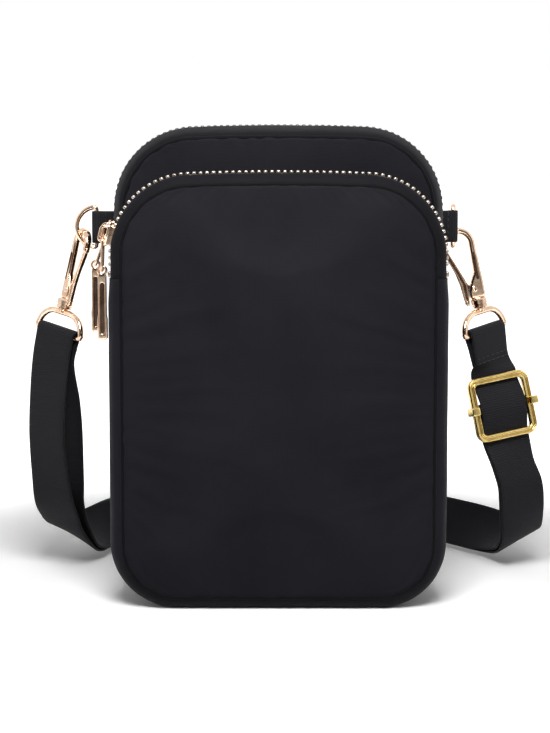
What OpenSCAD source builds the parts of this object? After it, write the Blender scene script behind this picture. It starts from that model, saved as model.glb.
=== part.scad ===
// Two-compartment phone pouch with zips, side rings, snap hooks and a webbing strap.
// X runs to the wearer's right as seen from the front, Y runs to the back, Z is up.
// The origin is on the surface the pouch stands on, under the middle of the main compartment.

/* [Pouch] */
// Half the width between the side seams
seam_half_w = 60.8; // [50:0.2:75]
// Height of the main compartment's top seam
main_seam_top = 184.6; // [182:0.2:205]
// Height of the front pocket's top seam
front_seam_top = 166.8; // [160:0.2:170]
// Height of the bottom seam
seam_bottom = 5; // [4.8:0.1:5.2]
// Radius of the bottom corners at the seam
bottom_corner_r = 21; // [16:0.5:26]
// Radius of the main compartment's top corners at the seam
main_corner_r = 28; // [24:0.5:32]
// Radius of the front pocket's top corners at the seam
front_corner_r = 27; // [24:0.5:30]
// Radius of the slight arch along both top edges
crown_r = 900; // [700:10:1200]
// Depth of the front pocket
front_depth = 18; // [15:0.5:24]
// Depth of the main compartment
main_depth = 31; // [28:0.5:40]
// How far the gussets stand out beyond the seams
bulge = 4.8; // [4.4:0.1:6]
// How far the lower gussets stand out beyond the seams
lower_bulge = 5.4; // [5.2:0.1:6]
// Thickness of the gusset fabric with its lining
gusset_t = 1.4; // [1:0.1:2]
// How far the front panel swells forward in its middle
front_crown = 4; // [2:0.25:6]
// How far the back panel swells in its middle
back_crown = 1.5; // [0.5:0.25:3]

/* [Zips] */
// How far below the main top seam the main zip ends
main_zip_end_drop = 54.3; // [50:0.1:58]
// How far below the front top seam the front zip ends
front_zip_end_drop = 36.5; // [34:0.1:40]
// Distance from tooth to tooth on one side
tooth_pitch = 2.55; // [2:0.05:3]
// Thickness of the teeth
tooth_t = 2.2; // [1.8:0.1:2.6]
// Width of one row of teeth
tooth_row_w = 3.4; // [2.8:0.1:4]
// Length of a slider
slider_l = 9; // [8:0.5:10]
// Width of a slider
slider_w = 8; // [7.6:0.2:9]
// Angle of the front slider above its corner's centre
front_slider_angle = 13.5; // [11:0.5:30]
// How far below the main top seam the main slider sits
main_slider_drop = 37.6; // [35:0.2:41]
// Length of a pull's link between its two pins
link_l = 13; // [10:0.5:16]
// Length of a pull bar below its pin
pull_l = 27; // [18:0.5:32]
// Outward lean of the main pull's link
main_link_lean = 20; // [14:1:22]
// Outward lean of the front pull's link
front_link_lean = 2; // [2:1:6]

/* [Strap hardware] */
// Width of the strap webbing
webbing_w = 20.5; // [18:0.5:22]
// Thickness of the strap webbing
webbing_t = 1.3; // [1:0.1:1.5]
// Diameter of the wire of the side rings
ring_wire_d = 2; // [1.8:0.1:2.2]
// Inside height of the side rings
ring_inside = 14.4; // [14:0.2:16]
// Height of the side rings' middle
ring_z = 147.8; // [145:0.1:151]
// Distance from a tab's root out to its ring's straight bar
tab_l = 12; // [11:0.5:14]
// Distance from a hook's collar to the wire hooked in it
hook_reach = 29; // [28:0.5:30]
// Thickness of the hooks
hook_t = 3; // [2.8:0.1:3.4]
// Diameter of the wire of the swivel rings
swivel_wire_d = 2.6; // [2.2:0.1:2.8]
// Length of the adjuster's frame along the strap
adjuster_l = 27; // [25:0.5:30]
// Width of the bars of the adjuster's frame
adjuster_bar_w = 3; // [2.6:0.1:3.2]

/* [Hidden] */
$fn = 48;
fabric = "#1d1d22";
lining = "#26262b";
webbing = "#2a2a2d";
foam = "#3a3a3e";
gold = "#d9b27c";
pale_gold = "#e6cf9a";

// Cuts run past what they cut by this much
over = 1;
// Gap between pieces that are sewn or pressed together
seat = 0.1;
// Gap between pieces that move on each other
play = 0.2;
// Thickness of a panel's outer fabric, padding and lining
skin_t = 0.8;
pad_t = 1.5;
lining_t = 0.5;
// Places along the depth, counted back from the front seam
total_depth = front_depth + main_depth;
y_front = -front_depth - main_depth / 2;
y_middle = y_front + front_depth;
y_back = y_middle + main_depth;
panel_t = skin_t + pad_t + lining_t + 2 * seat;
// Heights of the zips' ends and of the main slider
front_zip_end_z = front_seam_top - front_zip_end_drop;
main_zip_end_z = main_seam_top - main_zip_end_drop;
main_slider_z = main_seam_top - main_slider_drop;
// The zips' middles
y_front_zip = y_front + front_depth / 2;
y_main_zip = y_middle + main_depth / 2;

// An outline holds half width, bottom, top, bottom radius, top radius and its zip's end
front_outline = [seam_half_w, seam_bottom, front_seam_top, bottom_corner_r, front_corner_r, front_zip_end_z];
main_outline = [seam_half_w, seam_bottom, main_seam_top, bottom_corner_r, main_corner_r, main_zip_end_z];

function half_of(o) = o[0];
function bottom_of(o) = o[1];
function top_of(o) = o[2];
function low_r(o) = o[3];
function high_r(o) = o[4];
function zip_end_of(o) = o[5];
function corner_x(o) = half_of(o) - high_r(o);
function crown_z(o) = top_of(o) - crown_r;
function corner_z(o) = crown_z(o) + sqrt(pow(crown_r - high_r(o), 2) - pow(corner_x(o), 2));
function corner_angle(o) = atan2(corner_z(o) - crown_z(o), corner_x(o));

// Turns what is drawn as (outward, depth) round an axis along Y
module arc_sweep(cx, cz, r, from, to) {
    translate([cx, 0, cz]) rotate([90, 0, 0]) rotate([0, 0, from])
        rotate_extrude(angle = to - from, $fn = 96)
            translate([r, 0]) mirror([0, 1]) children();
}

// Draws a section up one side from one height to another
module side_sweep(o, from, to) {
    translate([half_of(o), 0, from]) linear_extrude(to - from) children();
}

module both_sides() {
    children();
    mirror([1, 0, 0]) children();
}

// Stretches of the upper sweep meet with this hair's breadth between them
breadth = 0.02;

// A section swept over the top, down to the zip's ends
module upper_run(o, end_z) {
    both_sides() {
        side_sweep(o, end_z, corner_z(o) - breadth) children();
        arc_sweep(corner_x(o), corner_z(o), high_r(o), 0, corner_angle(o)) children();
    }
    crown_from = corner_angle(o) + breadth / crown_r * 180 / PI;
    arc_sweep(0, crown_z(o), crown_r, crown_from, 180 - crown_from) children();
}

// A section swept round the bottom, up to the zip's ends
module lower_run(o, end_z) {
    low_x = half_of(o) - low_r(o);
    low_z = bottom_of(o) + low_r(o);
    both_sides() {
        side_sweep(o, low_z, end_z) children();
        arc_sweep(low_x, low_z, low_r(o), -90, 0) children();
    }
    translate([-low_x, 0, bottom_of(o)]) rotate([0, 90, 0]) linear_extrude(2 * low_x) children();
}

// Section of an arched gusset between two depths, sunk below the arch by a drop
module arch(y0, y1, height, t, from, to, drop = 0) {
    span = (y1 - y0) / 2;
    r = (span * span + height * height) / (2 * height);
    intersection() {
        difference() {
            translate([height - r, (y0 + y1) / 2]) circle(r - drop, $fn = 96);
            translate([height - r, (y0 + y1) / 2]) circle(r - drop - t, $fn = 96);
        }
        translate([seat, from]) square([height + over, to - from]);
    }
}

// A seam outline, drawn flat as (x, z), drawn in by a margin
module outline_shape(o, inset) {
    w = half_of(o) - inset;
    low = low_r(o) - inset;
    intersection() {
        translate([-w, bottom_of(o) + inset]) square([2 * w, corner_z(o) - bottom_of(o) + high_r(o)]);
        union() {
            translate([-w, bottom_of(o) + inset + low])
                square([2 * w, corner_z(o) - bottom_of(o) - inset - low]);
            translate([-(w - low), bottom_of(o) + inset])
                square([2 * (w - low), corner_z(o) - bottom_of(o) - inset]);
            for (s = [-1, 1]) {
                translate([s * (w - low), bottom_of(o) + inset + low]) circle(low, $fn = 64);
                translate([s * corner_x(o), corner_z(o)]) circle(high_r(o) - inset, $fn = 64);
            }
            intersection() {
                translate([0, crown_z(o)]) circle(crown_r - inset, $fn = 256);
                polygon([
                    [0, crown_z(o)],
                    [corner_x(o) * 2, crown_z(o) + (corner_z(o) - crown_z(o)) * 2],
                    [-corner_x(o) * 2, crown_z(o) + (corner_z(o) - crown_z(o)) * 2]
                ]);
                translate([-w, bottom_of(o) + low_r(o)]) square([2 * w, top_of(o) - bottom_of(o)]);
            }
        }
    }
}

// A flat layer of a panel between two depths
module flat_layer(o, inset, y0, y1) {
    translate([0, y1, 0]) rotate([90, 0, 0]) linear_extrude(y1 - y0) outline_shape(o, inset);
}

// Points of an outline, counter-clockwise from the bottom, for the swelling layers
side_steps = 6;
corner_steps = 8;
top_steps = 6;
function ease_points(a, b, n) = [for (i = [0:n - 1]) a + (b - a) * i / n];
function arc_points(cx, cz, r, a, b, n) = [for (i = [0:n - 1]) let (t = a + (b - a) * i / n)
    [cx + r * cos(t), cz + r * sin(t)]];
function outline_points(o, inset) =
    let (w = half_of(o) - inset, low = low_r(o) - inset, high = high_r(o) - inset,
         lx = w - low, lz = bottom_of(o) + inset + low, a = corner_angle(o))
    concat(
        ease_points([-lx, bottom_of(o) + inset], [lx, bottom_of(o) + inset], side_steps),
        arc_points(lx, lz, low, -90, 0, corner_steps),
        ease_points([w, lz], [w, corner_z(o)], side_steps),
        arc_points(corner_x(o), corner_z(o), high, 0, a, corner_steps),
        arc_points(0, crown_z(o), crown_r - inset, a, 180 - a, top_steps),
        arc_points(-corner_x(o), corner_z(o), high, 180 - a, 180, corner_steps),
        ease_points([-w, corner_z(o)], [-w, lz], side_steps),
        arc_points(-lx, lz, low, 180, 270, corner_steps)
    );

// Share of the way from the middle to the edge, ring by ring
ring_shares = [1, 0.95, 0.87, 0.74, 0.5, 0.25];
swell_power = 3;
function swell(share) = 1 - pow(share, swell_power);

// A layer whose two faces swell: each face is [depth at the edge, swelling]
module swelling_layer(o, inset, face_a, face_b) {
    edge = outline_points(o, inset);
    n = len(edge);
    rings = len(ring_shares);
    middle = [0, (bottom_of(o) + top_of(o)) / 2];
    function face(f) = concat(
        [for (s = ring_shares, p = edge) let (q = middle + (p - middle) * s)
            [q[0], f[0] + f[1] * swell(s), q[1]]],
        [[0, f[0] + f[1], middle[1]]]);
    size = n * rings + 1;
    points = concat(face(face_a), face(face_b));
    front = concat(
        [for (r = [0:rings - 2], i = [0:n - 1]) let (j = (i + 1) % n)
            [r * n + i, (r + 1) * n + i, (r + 1) * n + j, r * n + j]],
        [for (i = [0:n - 1]) let (j = (i + 1) % n) [(rings - 1) * n + i, size - 1, (rings - 1) * n + j]]);
    back = [for (f = front) [for (k = [len(f) - 1:-1:0]) f[k] + size]];
    rim = [for (i = [0:n - 1]) let (j = (i + 1) % n) [i, j, size + j, size + i]];
    polyhedron(points, concat(front, back, rim), convexity = 4);
}

module front_panel_skin() {
    color(fabric) swelling_layer(front_outline, seat,
        [y_front, -front_crown], [y_front + skin_t, -front_crown]);
}

module front_panel_padding() {
    color(foam) swelling_layer(front_outline, 2 * seat,
        [y_front + skin_t + seat, -front_crown], [y_front + skin_t + seat + pad_t, 0]);
}

module front_panel_lining() {
    lining_y = y_front + skin_t + pad_t + 2 * seat;
    color(lining) flat_layer(front_outline, 2 * seat, lining_y, lining_y + lining_t);
}

module middle_panel_skin() {
    color(fabric) flat_layer(main_outline, seat, y_middle + seat, y_middle + seat + skin_t);
}

module middle_panel_padding() {
    pad_y = y_middle + 2 * seat + skin_t;
    color(foam) flat_layer(main_outline, 2 * seat, pad_y, pad_y + pad_t);
}

module middle_panel_lining() {
    lining_y = y_middle + 3 * seat + skin_t + pad_t;
    color(lining) flat_layer(main_outline, 2 * seat, lining_y, lining_y + lining_t);
}

module back_panel_skin() {
    color(fabric) swelling_layer(main_outline, seat,
        [y_back - skin_t, back_crown], [y_back, back_crown]);
}

module back_panel_padding() {
    color(foam) swelling_layer(main_outline, 2 * seat,
        [y_back - skin_t - seat - pad_t, 0], [y_back - skin_t - seat, back_crown]);
}

module back_panel_lining() {
    lining_y = y_back - skin_t - pad_t - 2 * seat;
    color(lining) flat_layer(main_outline, 2 * seat, lining_y - lining_t, lining_y);
}

// Gussets. The zip strips leave a slot for the tape and teeth.
strip_slot = slider_w / 2 + 0.5;

module stand_flat() {
    floor_w = 2 * (seam_half_w + lower_bulge + over);
    difference() {
        children();
        translate([-floor_w / 2, y_front - over, -lower_bulge])
            cube([floor_w, total_depth + 2 * over, lower_bulge]);
    }
}

module front_gusset_lower() {
    color(fabric) stand_flat() lower_run(front_outline, front_zip_end_z - seat)
        arch(y_front, y_middle, lower_bulge, gusset_t, y_front, y_middle - seat);
}

module front_zip_strip_fore() {
    color(fabric) upper_run(front_outline, front_zip_end_z)
        arch(y_front, y_middle, bulge, gusset_t, y_front, y_front_zip - strip_slot);
}

module front_zip_strip_aft() {
    color(fabric) upper_run(front_outline, front_zip_end_z)
        arch(y_front, y_middle, bulge, gusset_t, y_front_zip + strip_slot, y_middle - seat);
}

module main_gusset_lower() {
    color(fabric) stand_flat() lower_run(main_outline, main_zip_end_z - seat)
        arch(y_middle, y_back, lower_bulge, gusset_t, y_middle + seat, y_back);
}

module main_zip_strip_fore() {
    color(fabric) upper_run(main_outline, main_zip_end_z)
        arch(y_middle, y_back, bulge, gusset_t, y_middle + seat, y_main_zip - strip_slot);
}

module main_zip_strip_aft() {
    color(fabric) upper_run(main_outline, main_zip_end_z)
        arch(y_middle, y_back, bulge, gusset_t, y_main_zip + strip_slot, y_back);
}

// Bindings sewn along the seams. The middle one lies in the groove between gussets.
binding_t = 1.5;
binding_out = 1;
binding_in = 0.8;
binding_lift = 0.3;
groove_low = 1;
groove_high = 2.6;
groove_fore = 0.4;
groove_aft = 0.8;

module binding(o, low, high, y0, y1) {
    translate([0, y1, 0]) rotate([90, 0, 0]) linear_extrude(y1 - y0) difference() {
        outline_shape(o, -high);
        outline_shape(o, -low);
    }
}

module front_seam_binding() {
    color(fabric) binding(front_outline, -binding_in, binding_out,
        y_front - binding_lift - binding_t, y_front - binding_lift);
}

module middle_seam_binding() {
    color(fabric) binding(main_outline, groove_low, groove_high,
        y_middle - groove_fore, y_middle + groove_aft);
}

module back_seam_binding() {
    color(fabric) difference() {
        binding(main_outline, -binding_in, binding_out,
            y_back + binding_lift, y_back + binding_lift + binding_t);
        both_sides() side_tab(0) tab_root();
    }
}

// Zip tapes lie under the strips, with their edges meeting under the teeth
tape_t = 0.5;
tape_gap = 0.35;
tape_under = 3;
tape_drop = gusset_t + seat;

module zip_tape(o, y0, y1, from, to) {
    color(fabric) upper_run(o, zip_end_of(o) + seat) arch(y0, y1, bulge, tape_t, from, to, tape_drop);
}

module front_zip_tape_fore() {
    zip_tape(front_outline, y_front, y_middle,
        y_front_zip - strip_slot - tape_under, y_front_zip - tape_gap);
}

module front_zip_tape_aft() {
    zip_tape(front_outline, y_front, y_middle,
        y_front_zip + tape_gap, y_front_zip + strip_slot + tape_under);
}

module main_zip_tape_fore() {
    zip_tape(main_outline, y_middle, y_back, y_main_zip - strip_slot - tape_under, y_main_zip - tape_gap);
}

module main_zip_tape_aft() {
    zip_tape(main_outline, y_middle, y_back, y_main_zip + tape_gap, y_main_zip + strip_slot + tape_under);
}

// Teeth stand on the tape and reach past the middle in turn
tooth_w = 1.1;
tooth_reach = 0.9;
teeth_out = bulge - tape_drop + seat;
pitch_out = teeth_out + tooth_t / 2;
end_margin = 3.4;
function crown_run(o) = (crown_r + pitch_out) * (90 - corner_angle(o)) * PI / 180;
function corner_run(o) = (high_r(o) + pitch_out) * corner_angle(o) * PI / 180;
function half_run(o) = crown_run(o) + corner_run(o) + corner_z(o) - zip_end_of(o) - end_margin;
function turn_at(o, s) =
    s < crown_run(o) ? 90 - s / (crown_r + pitch_out) * 180 / PI :
    s < crown_run(o) + corner_run(o) ?
        corner_angle(o) - (s - crown_run(o)) / (high_r(o) + pitch_out) * 180 / PI : 0;
function spot_at(o, s) = let (a = turn_at(o, s))
    s < crown_run(o) ? [crown_r * cos(a), crown_z(o) + crown_r * sin(a)] :
    [corner_x(o) + high_r(o) * cos(a),
     corner_z(o) + high_r(o) * sin(a) - max(0, s - crown_run(o) - corner_run(o))];

// Places children along the zip: X outward, Z along it
module on_zip(o, s) {
    spot = spot_at(o, abs(s));
    mirror([s < 0 ? 1 : 0, 0, 0])
        translate([spot[0], 0, spot[1]]) rotate([0, -turn_at(o, abs(s)), 0]) children();
}

module teeth_row(o, y_zip, side, shift) {
    count = floor(half_run(o) / tooth_pitch);
    reach_y = side * tooth_reach;
    root_y = side * (tooth_reach - tooth_row_w);
    for (i = [-count:count - (shift > 0 ? 1 : 0)])
        on_zip(o, (i + shift) * tooth_pitch)
            translate([teeth_out, y_zip + min(reach_y, root_y), -tooth_w / 2])
                cube([tooth_t, tooth_row_w, tooth_w]);
}

module front_zip_teeth_fore() {
    color(pale_gold) teeth_row(front_outline, y_front_zip, 1, 0);
}

module front_zip_teeth_aft() {
    color(pale_gold) teeth_row(front_outline, y_front_zip, -1, 0.5);
}

module main_zip_teeth_fore() {
    color(pale_gold) teeth_row(main_outline, y_main_zip, 1, 0);
}

module main_zip_teeth_aft() {
    color(pale_gold) teeth_row(main_outline, y_main_zip, -1, 0.5);
}

// Stops close each zip: one across both rows on the right, two on the left
stop_l = 2;
stop_gap = 0.4;

module zip_stops(o, y_zip) {
    stop_w = tooth_row_w + tooth_reach;
    translate([half_of(o) + teeth_out, y_zip - stop_w / 2, zip_end_of(o) + stop_gap])
        cube([tooth_t, stop_w, stop_l]);
    for (side = [0, 1]) mirror([1, 0, 0])
        translate([half_of(o) + teeth_out, y_zip - stop_w / 2 + side * (stop_w + stop_gap) / 2,
            zip_end_of(o) + stop_gap])
            cube([tooth_t, (stop_w - stop_gap) / 2, stop_l]);
}

module front_zip_stops() {
    color(pale_gold) zip_stops(front_outline, y_front_zip);
}

module main_zip_stops() {
    color(pale_gold) zip_stops(main_outline, y_main_zip);
}

// A slider: plates over and under the chain, and a bridge for the pull's link
plate_t = 0.9;
plate_gap = 0.3;
plate_out = teeth_out + tooth_t + plate_gap;
under_out = 0.1;
flange_y = tooth_row_w - tooth_reach + 0.45;
flange_out = 3.2;
bridge_l = 7;
bridge_w = 1.8;
bridge_bar = 1.1;
bridge_in = 2.1;
nose_cut = 2;
link_wire_d = 1.2;
link_out = plate_out + plate_t + bridge_in / 2 + play / 2;
link_down = bridge_l / 2 - bridge_bar - link_wire_d / 2 - 0.5;

module slider_body() {
    // Upper plate with bevelled ends
    rotate([90, 0, 0]) translate([0, 0, -slider_w / 2]) linear_extrude(slider_w) polygon([
        [plate_out, -slider_l / 2], [plate_out + plate_t, -slider_l / 2 + nose_cut],
        [plate_out + plate_t, slider_l / 2 - nose_cut], [plate_out, slider_l / 2]
    ]);
    // Flanges beside the teeth
    for (side = [-1, 1])
        translate([flange_out, side > 0 ? flange_y : -slider_w / 2, -slider_l / 2])
            cube([plate_out - flange_out + seat / 2, slider_w / 2 - flange_y, slider_l]);
    // Lower plate inside the pouch
    translate([under_out, -slider_w / 2, -slider_l / 2]) cube([plate_t, slider_w, slider_l]);
    // Bridge
    translate([plate_out + plate_t - seat, -bridge_w / 2, -bridge_l / 2]) difference() {
        cube([bridge_in + bridge_bar + seat, bridge_w, bridge_l]);
        translate([seat, -over, bridge_bar])
            cube([bridge_in, bridge_w + 2 * over, bridge_l - 2 * bridge_bar]);
    }
}

// Places children on the left, at a corner's angle or on the straight stretch
module front_slider_place() {
    mirror([1, 0, 0]) translate([corner_x(front_outline), y_front_zip, corner_z(front_outline)])
        rotate([0, -front_slider_angle, 0]) translate([high_r(front_outline), 0, 0]) children();
}

module main_slider_place() {
    mirror([1, 0, 0]) translate([seam_half_w, y_main_zip, main_slider_z]) children();
}

module front_zip_slider() {
    color(gold) front_slider_place() slider_body();
}

module main_zip_slider() {
    color(gold) main_slider_place() slider_body();
}

// A link is a slim ring of wire. Its upper end is at the origin, it hangs down.
link_in_w = 2.8;

module link_ring() {
    r = (link_in_w + link_wire_d) / 2;
    straight = link_l - 2 * r;
    for (side = [-1, 1])
        translate([0, side * r, -r - straight]) cylinder(d = link_wire_d, h = straight, $fn = 24);
    translate([0, 0, -r]) rotate([0, -90, 0]) rotate([0, 0, -90])
        rotate_extrude(angle = 180, $fn = 48) translate([r, 0]) circle(d = link_wire_d, $fn = 24);
    translate([0, 0, -r - straight]) rotate([0, -90, 0]) rotate([0, 0, 90])
        rotate_extrude(angle = 180, $fn = 48) translate([r, 0]) circle(d = link_wire_d, $fn = 24);
}

// Hangs children on a slider's bridge
module front_pull_place() {
    front_slider_place() translate([link_out, 0, -link_down])
        rotate([0, front_slider_angle - front_link_lean, 0]) children();
}

module main_pull_place() {
    main_slider_place() translate([link_out, 0, -link_down])
        rotate([0, -main_link_lean, 0]) children();
}

module front_pull_link() {
    color(gold) front_pull_place() link_ring();
}

module main_pull_link() {
    color(gold) main_pull_place() link_ring();
}

// A pull bar hangs from its eye at the origin
pull_w = 3.4;
pull_foot_w = 4;
pull_t = 1.6;
eye_w = 4.2;
eye_hole_d = 2.2;
shoulder = 1.15;
foot_rise = 9;

module pull_bar() {
    translate([0, pull_t / 2, 0]) rotate([90, 0, 0]) difference() {
        union() {
            cylinder(d = eye_w, h = pull_t);
            linear_extrude(pull_t) polygon([
                [pull_w / 2, -shoulder], [-pull_w / 2, -shoulder],
                [-pull_w / 2, -pull_l + foot_rise], [-pull_foot_w / 2, -pull_l + foot_rise - over],
                [-pull_foot_w / 2, -pull_l], [pull_foot_w / 2, -pull_l],
                [pull_foot_w / 2, -pull_l + foot_rise - over], [pull_w / 2, -pull_l + foot_rise]
            ]);
        }
        translate([0, 0, -over]) cylinder(d = eye_hole_d, h = pull_t + 2 * over);
    }
}

module front_pull_bar() {
    color(gold) front_pull_place() translate([0, 0, -link_l])
        rotate([0, front_link_lean, 0]) pull_bar();
}

module main_pull_bar() {
    color(gold) main_pull_place() translate([0, 0, -link_l])
        rotate([0, main_link_lean, 0]) pull_bar();
}

// Side tabs: webbing folded round a ring's straight bar, its root in the back seam
left_tab_angle = 0;
right_tab_angle = 35;
tab_w = 13;
tab_root_x = seam_half_w - 1.2;
tab_root_y = y_back + binding_lift + binding_t / 2;
tab_wrap_r = 2.2;
tab_ply = 0.6;
pin_fit = 0.05;
ring_wire_r = ring_wire_d / 2;
ring_bow_r = ring_inside / 2 + ring_wire_r;
tab_knee = 2.4;

// Frame of a tab on the right-hand side: root at the knee, X runs outward
module side_tab(turn) {
    translate([tab_root_x + tab_knee, tab_root_y, ring_z]) rotate([0, 0, turn]) children();
}

module tab_root() {
    translate([-tab_knee - over, -tab_ply - seat, -tab_w / 2 - seat])
        cube([2 * tab_knee + over, 2 * (tab_ply + seat), tab_w + 2 * seat]);
}

module tab_loop() {
    translate([0, 0, -tab_w / 2]) linear_extrude(tab_w) difference() {
        union() {
            translate([tab_l, 0]) circle(tab_wrap_r);
            polygon([
                [0, -tab_ply], [tab_l - tab_knee, -tab_ply], [tab_l - over, -tab_wrap_r + seat],
                [tab_l - over, tab_wrap_r - seat], [tab_l - tab_knee, tab_ply], [0, tab_ply]
            ]);
            circle(tab_ply, $fn = 24);
        }
        translate([tab_l, 0]) circle(ring_wire_r + pin_fit);
    }
}

module tab_stub(turn) {
    rotate([0, 0, -turn]) translate([-tab_knee, -tab_ply, -tab_w / 2])
        cube([tab_knee, 2 * tab_ply, tab_w]);
}

module left_tab() {
    color(webbing) mirror([1, 0, 0]) side_tab(left_tab_angle) {
        tab_loop();
        tab_stub(left_tab_angle);
    }
}

module right_tab() {
    color(webbing) side_tab(right_tab_angle) {
        tab_loop();
        tab_stub(right_tab_angle);
    }
}

// A side ring: straight bar on the Z axis, bow towards X
module bow_ring(bow_r, wire_r) {
    translate([0, 0, -bow_r]) cylinder(r = wire_r, h = 2 * bow_r, $fn = 32);
    for (end = [-1, 1]) translate([0, 0, end * bow_r]) sphere(wire_r, $fn = 32);
    rotate([90, 0, 0]) rotate([0, 0, -90])
        rotate_extrude(angle = 180, $fn = 64) translate([bow_r, 0]) circle(wire_r, $fn = 32);
}

left_bow_turn = 0;
right_bow_turn = 45;

module left_side_ring() {
    color(gold) mirror([1, 0, 0]) side_tab(left_tab_angle) translate([tab_l, 0, 0])
        rotate([0, 0, left_bow_turn]) bow_ring(ring_bow_r, ring_wire_r);
}

module right_side_ring() {
    color(gold) side_tab(right_tab_angle) translate([tab_l, 0, 0])
        rotate([0, 0, right_bow_turn]) bow_ring(ring_bow_r, ring_wire_r);
}

// Snap hooks. The wire held in the eye passes the origin, Z runs up along the swivel.
eye_x = 1.4;
eye_z = -1.4;
hook_eye_r = 4.5;
hook_wire = 2.5;
collar_x = 5.4;
collar_r = 3.3;
collar_l = 4;
pivot_x = 4.4;
pivot_z = 8.1 - hook_reach;
base_z = collar_l - hook_reach;
base_l = 8.5;
nose_l = 2.1;
gate_r = -pivot_z - 2.9;
nose_gap_r = gate_r + 0.4;
gate_t = 1.7;
gate_play = 0.1;
gate_w = 2.5;
gate_boss_r = 1.9;
tail_l = 6.6;
tail_w = 1.3;
rivet_r = 1;
rivet_head_r = 1.6;
rivet_head_t = 0.4;
post_r = 1.4;
post_head_r = 2.2;
post_head_t = 1.2;
bore_l = 1.6;
axial_play = 0.1;

module plate_y(t) {
    translate([0, t / 2, 0]) rotate([90, 0, 0]) linear_extrude(t) children();
}

module hook_shape() {
    spine_in = eye_x + hook_eye_r;
    spine_out = spine_in + hook_wire;
    nose_out = eye_x - hook_eye_r - hook_wire;
    nose_in = eye_x - hook_eye_r;
    // Arch over the eye
    intersection() {
        difference() {
            translate([eye_x, eye_z]) circle(hook_eye_r + hook_wire, $fn = 96);
            translate([eye_x, eye_z]) circle(hook_eye_r, $fn = 96);
        }
        translate([nose_out - over, eye_z - seat]) square([2 * spine_out, 2 * hook_eye_r + hook_wire]);
    }
    // Spine and base
    polygon([
        [spine_in, eye_z], [spine_out, eye_z], [collar_x + collar_r, base_z + base_l / 2],
        [collar_x + collar_r, base_z - seat], [collar_x - collar_r, base_z - seat],
        [collar_x - collar_r, base_z + base_l / 2], [pivot_x, base_z + base_l],
        [spine_in - over / 2, base_z + base_l + 2 * over]
    ]);
    // Nose
    difference() {
        translate([nose_out, eye_z - nose_l - over]) square([hook_wire, nose_l + over + seat]);
        translate([pivot_x, pivot_z]) circle(nose_gap_r, $fn = 96);
    }
}

module hook_body() {
    difference() {
        union() {
            plate_y(hook_t) hook_shape();
            translate([collar_x, 0, -hook_reach]) cylinder(r = collar_r, h = collar_l, $fn = 48);
        }
        // Slot for the gate, past the spine's inner face
        slot_t = gate_t + 2 * gate_play;
        translate([collar_x - collar_r - over, -slot_t / 2, base_z + over / 2])
            cube([pivot_x + gate_boss_r + 2 * play - collar_x + collar_r + over, slot_t, base_l + 3 * over]);
        // Rivet bore, and the swivel's bore and chamber
        translate([pivot_x, hook_t, pivot_z]) rotate([90, 0, 0])
            cylinder(r = rivet_r + gate_play / 5, h = 2 * hook_t);
        translate([collar_x, 0, -hook_reach - over])
            cylinder(r = post_r + pin_fit, h = bore_l + 2 * over);
        translate([collar_x, 0, -hook_reach + bore_l])
            cylinder(r = post_head_r + pin_fit, h = post_head_t + 2 * axial_play);
    }
}

module gate_shape() {
    nose_out = eye_x - hook_eye_r - hook_wire;
    difference() {
        union() {
            intersection() {
                translate([pivot_x, pivot_z]) circle(gate_r, $fn = 96);
                polygon([
                    [nose_out, 0], [nose_out + gate_w, 0],
                    [pivot_x - gate_boss_r, pivot_z + gate_boss_r], [pivot_x, pivot_z],
                    [collar_x - collar_r - 2 * gate_play, base_z + over / 2],
                    [collar_x - collar_r - tail_w / 2, pivot_z - tail_l],
                    [collar_x - collar_r - 3 * tail_w / 2, pivot_z - tail_l],
                    [collar_x - collar_r - 3 * tail_w / 2 - over, pivot_z - tail_l + over],
                    [nose_out - seat, eye_z - nose_l - over]
                ]);
            }
            translate([pivot_x, pivot_z]) circle(gate_boss_r);
        }
        translate([pivot_x, pivot_z]) circle(rivet_r + pin_fit);
    }
}

module rivet() {
    translate([pivot_x, 0, pivot_z]) rotate([90, 0, 0]) {
        translate([0, 0, -hook_t / 2 - rivet_head_t])
            cylinder(r = rivet_r, h = hook_t + 2 * rivet_head_t);
        for (side = [-1, 1])
            translate([0, 0, side * (hook_t / 2 + rivet_head_t / 2 + seat / 5) - rivet_head_t / 2])
                cylinder(r = rivet_head_r, h = rivet_head_t);
    }
}

// Swivel ring: a post in the collar, a bow, and a straight bar for the webbing
swivel_wire_r = swivel_wire_d / 2;
swivel_side = 0.7;
swivel_bow_r = webbing_w / 2 + swivel_wire_r + swivel_side;
swivel_gap = 0.3;
swivel_top_z = -hook_reach - swivel_gap - swivel_wire_r;
swivel_bend_r = 8.5;
swivel_bar_z = swivel_top_z - swivel_bend_r;

// Straight bar along X, two rounded shoulders and a straight top
module swivel_bow() {
    flat_x = swivel_bow_r - swivel_bend_r;
    translate([-swivel_bow_r, 0, 0]) rotate([0, 90, 0])
        cylinder(r = swivel_wire_r, h = 2 * swivel_bow_r, $fn = 32);
    translate([-flat_x, 0, swivel_bend_r]) rotate([0, 90, 0])
        cylinder(r = swivel_wire_r, h = 2 * flat_x, $fn = 32);
    both_sides() {
        translate([swivel_bow_r, 0, 0]) sphere(swivel_wire_r, $fn = 32);
        translate([flat_x, 0, 0]) rotate([90, 0, 0])
            rotate_extrude(angle = 90, $fn = 64)
                translate([swivel_bend_r, 0]) circle(swivel_wire_r, $fn = 32);
    }
}

module swivel_ring(turn) {
    translate([collar_x, 0, 0]) rotate([0, 0, turn]) {
        translate([0, 0, swivel_top_z]) cylinder(r = post_r, h = swivel_wire_r + swivel_gap + bore_l + over);
        translate([0, 0, -hook_reach + bore_l + axial_play]) cylinder(r = post_head_r, h = post_head_t);
        translate([0, 0, swivel_bar_z]) swivel_bow();
    }
}

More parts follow.
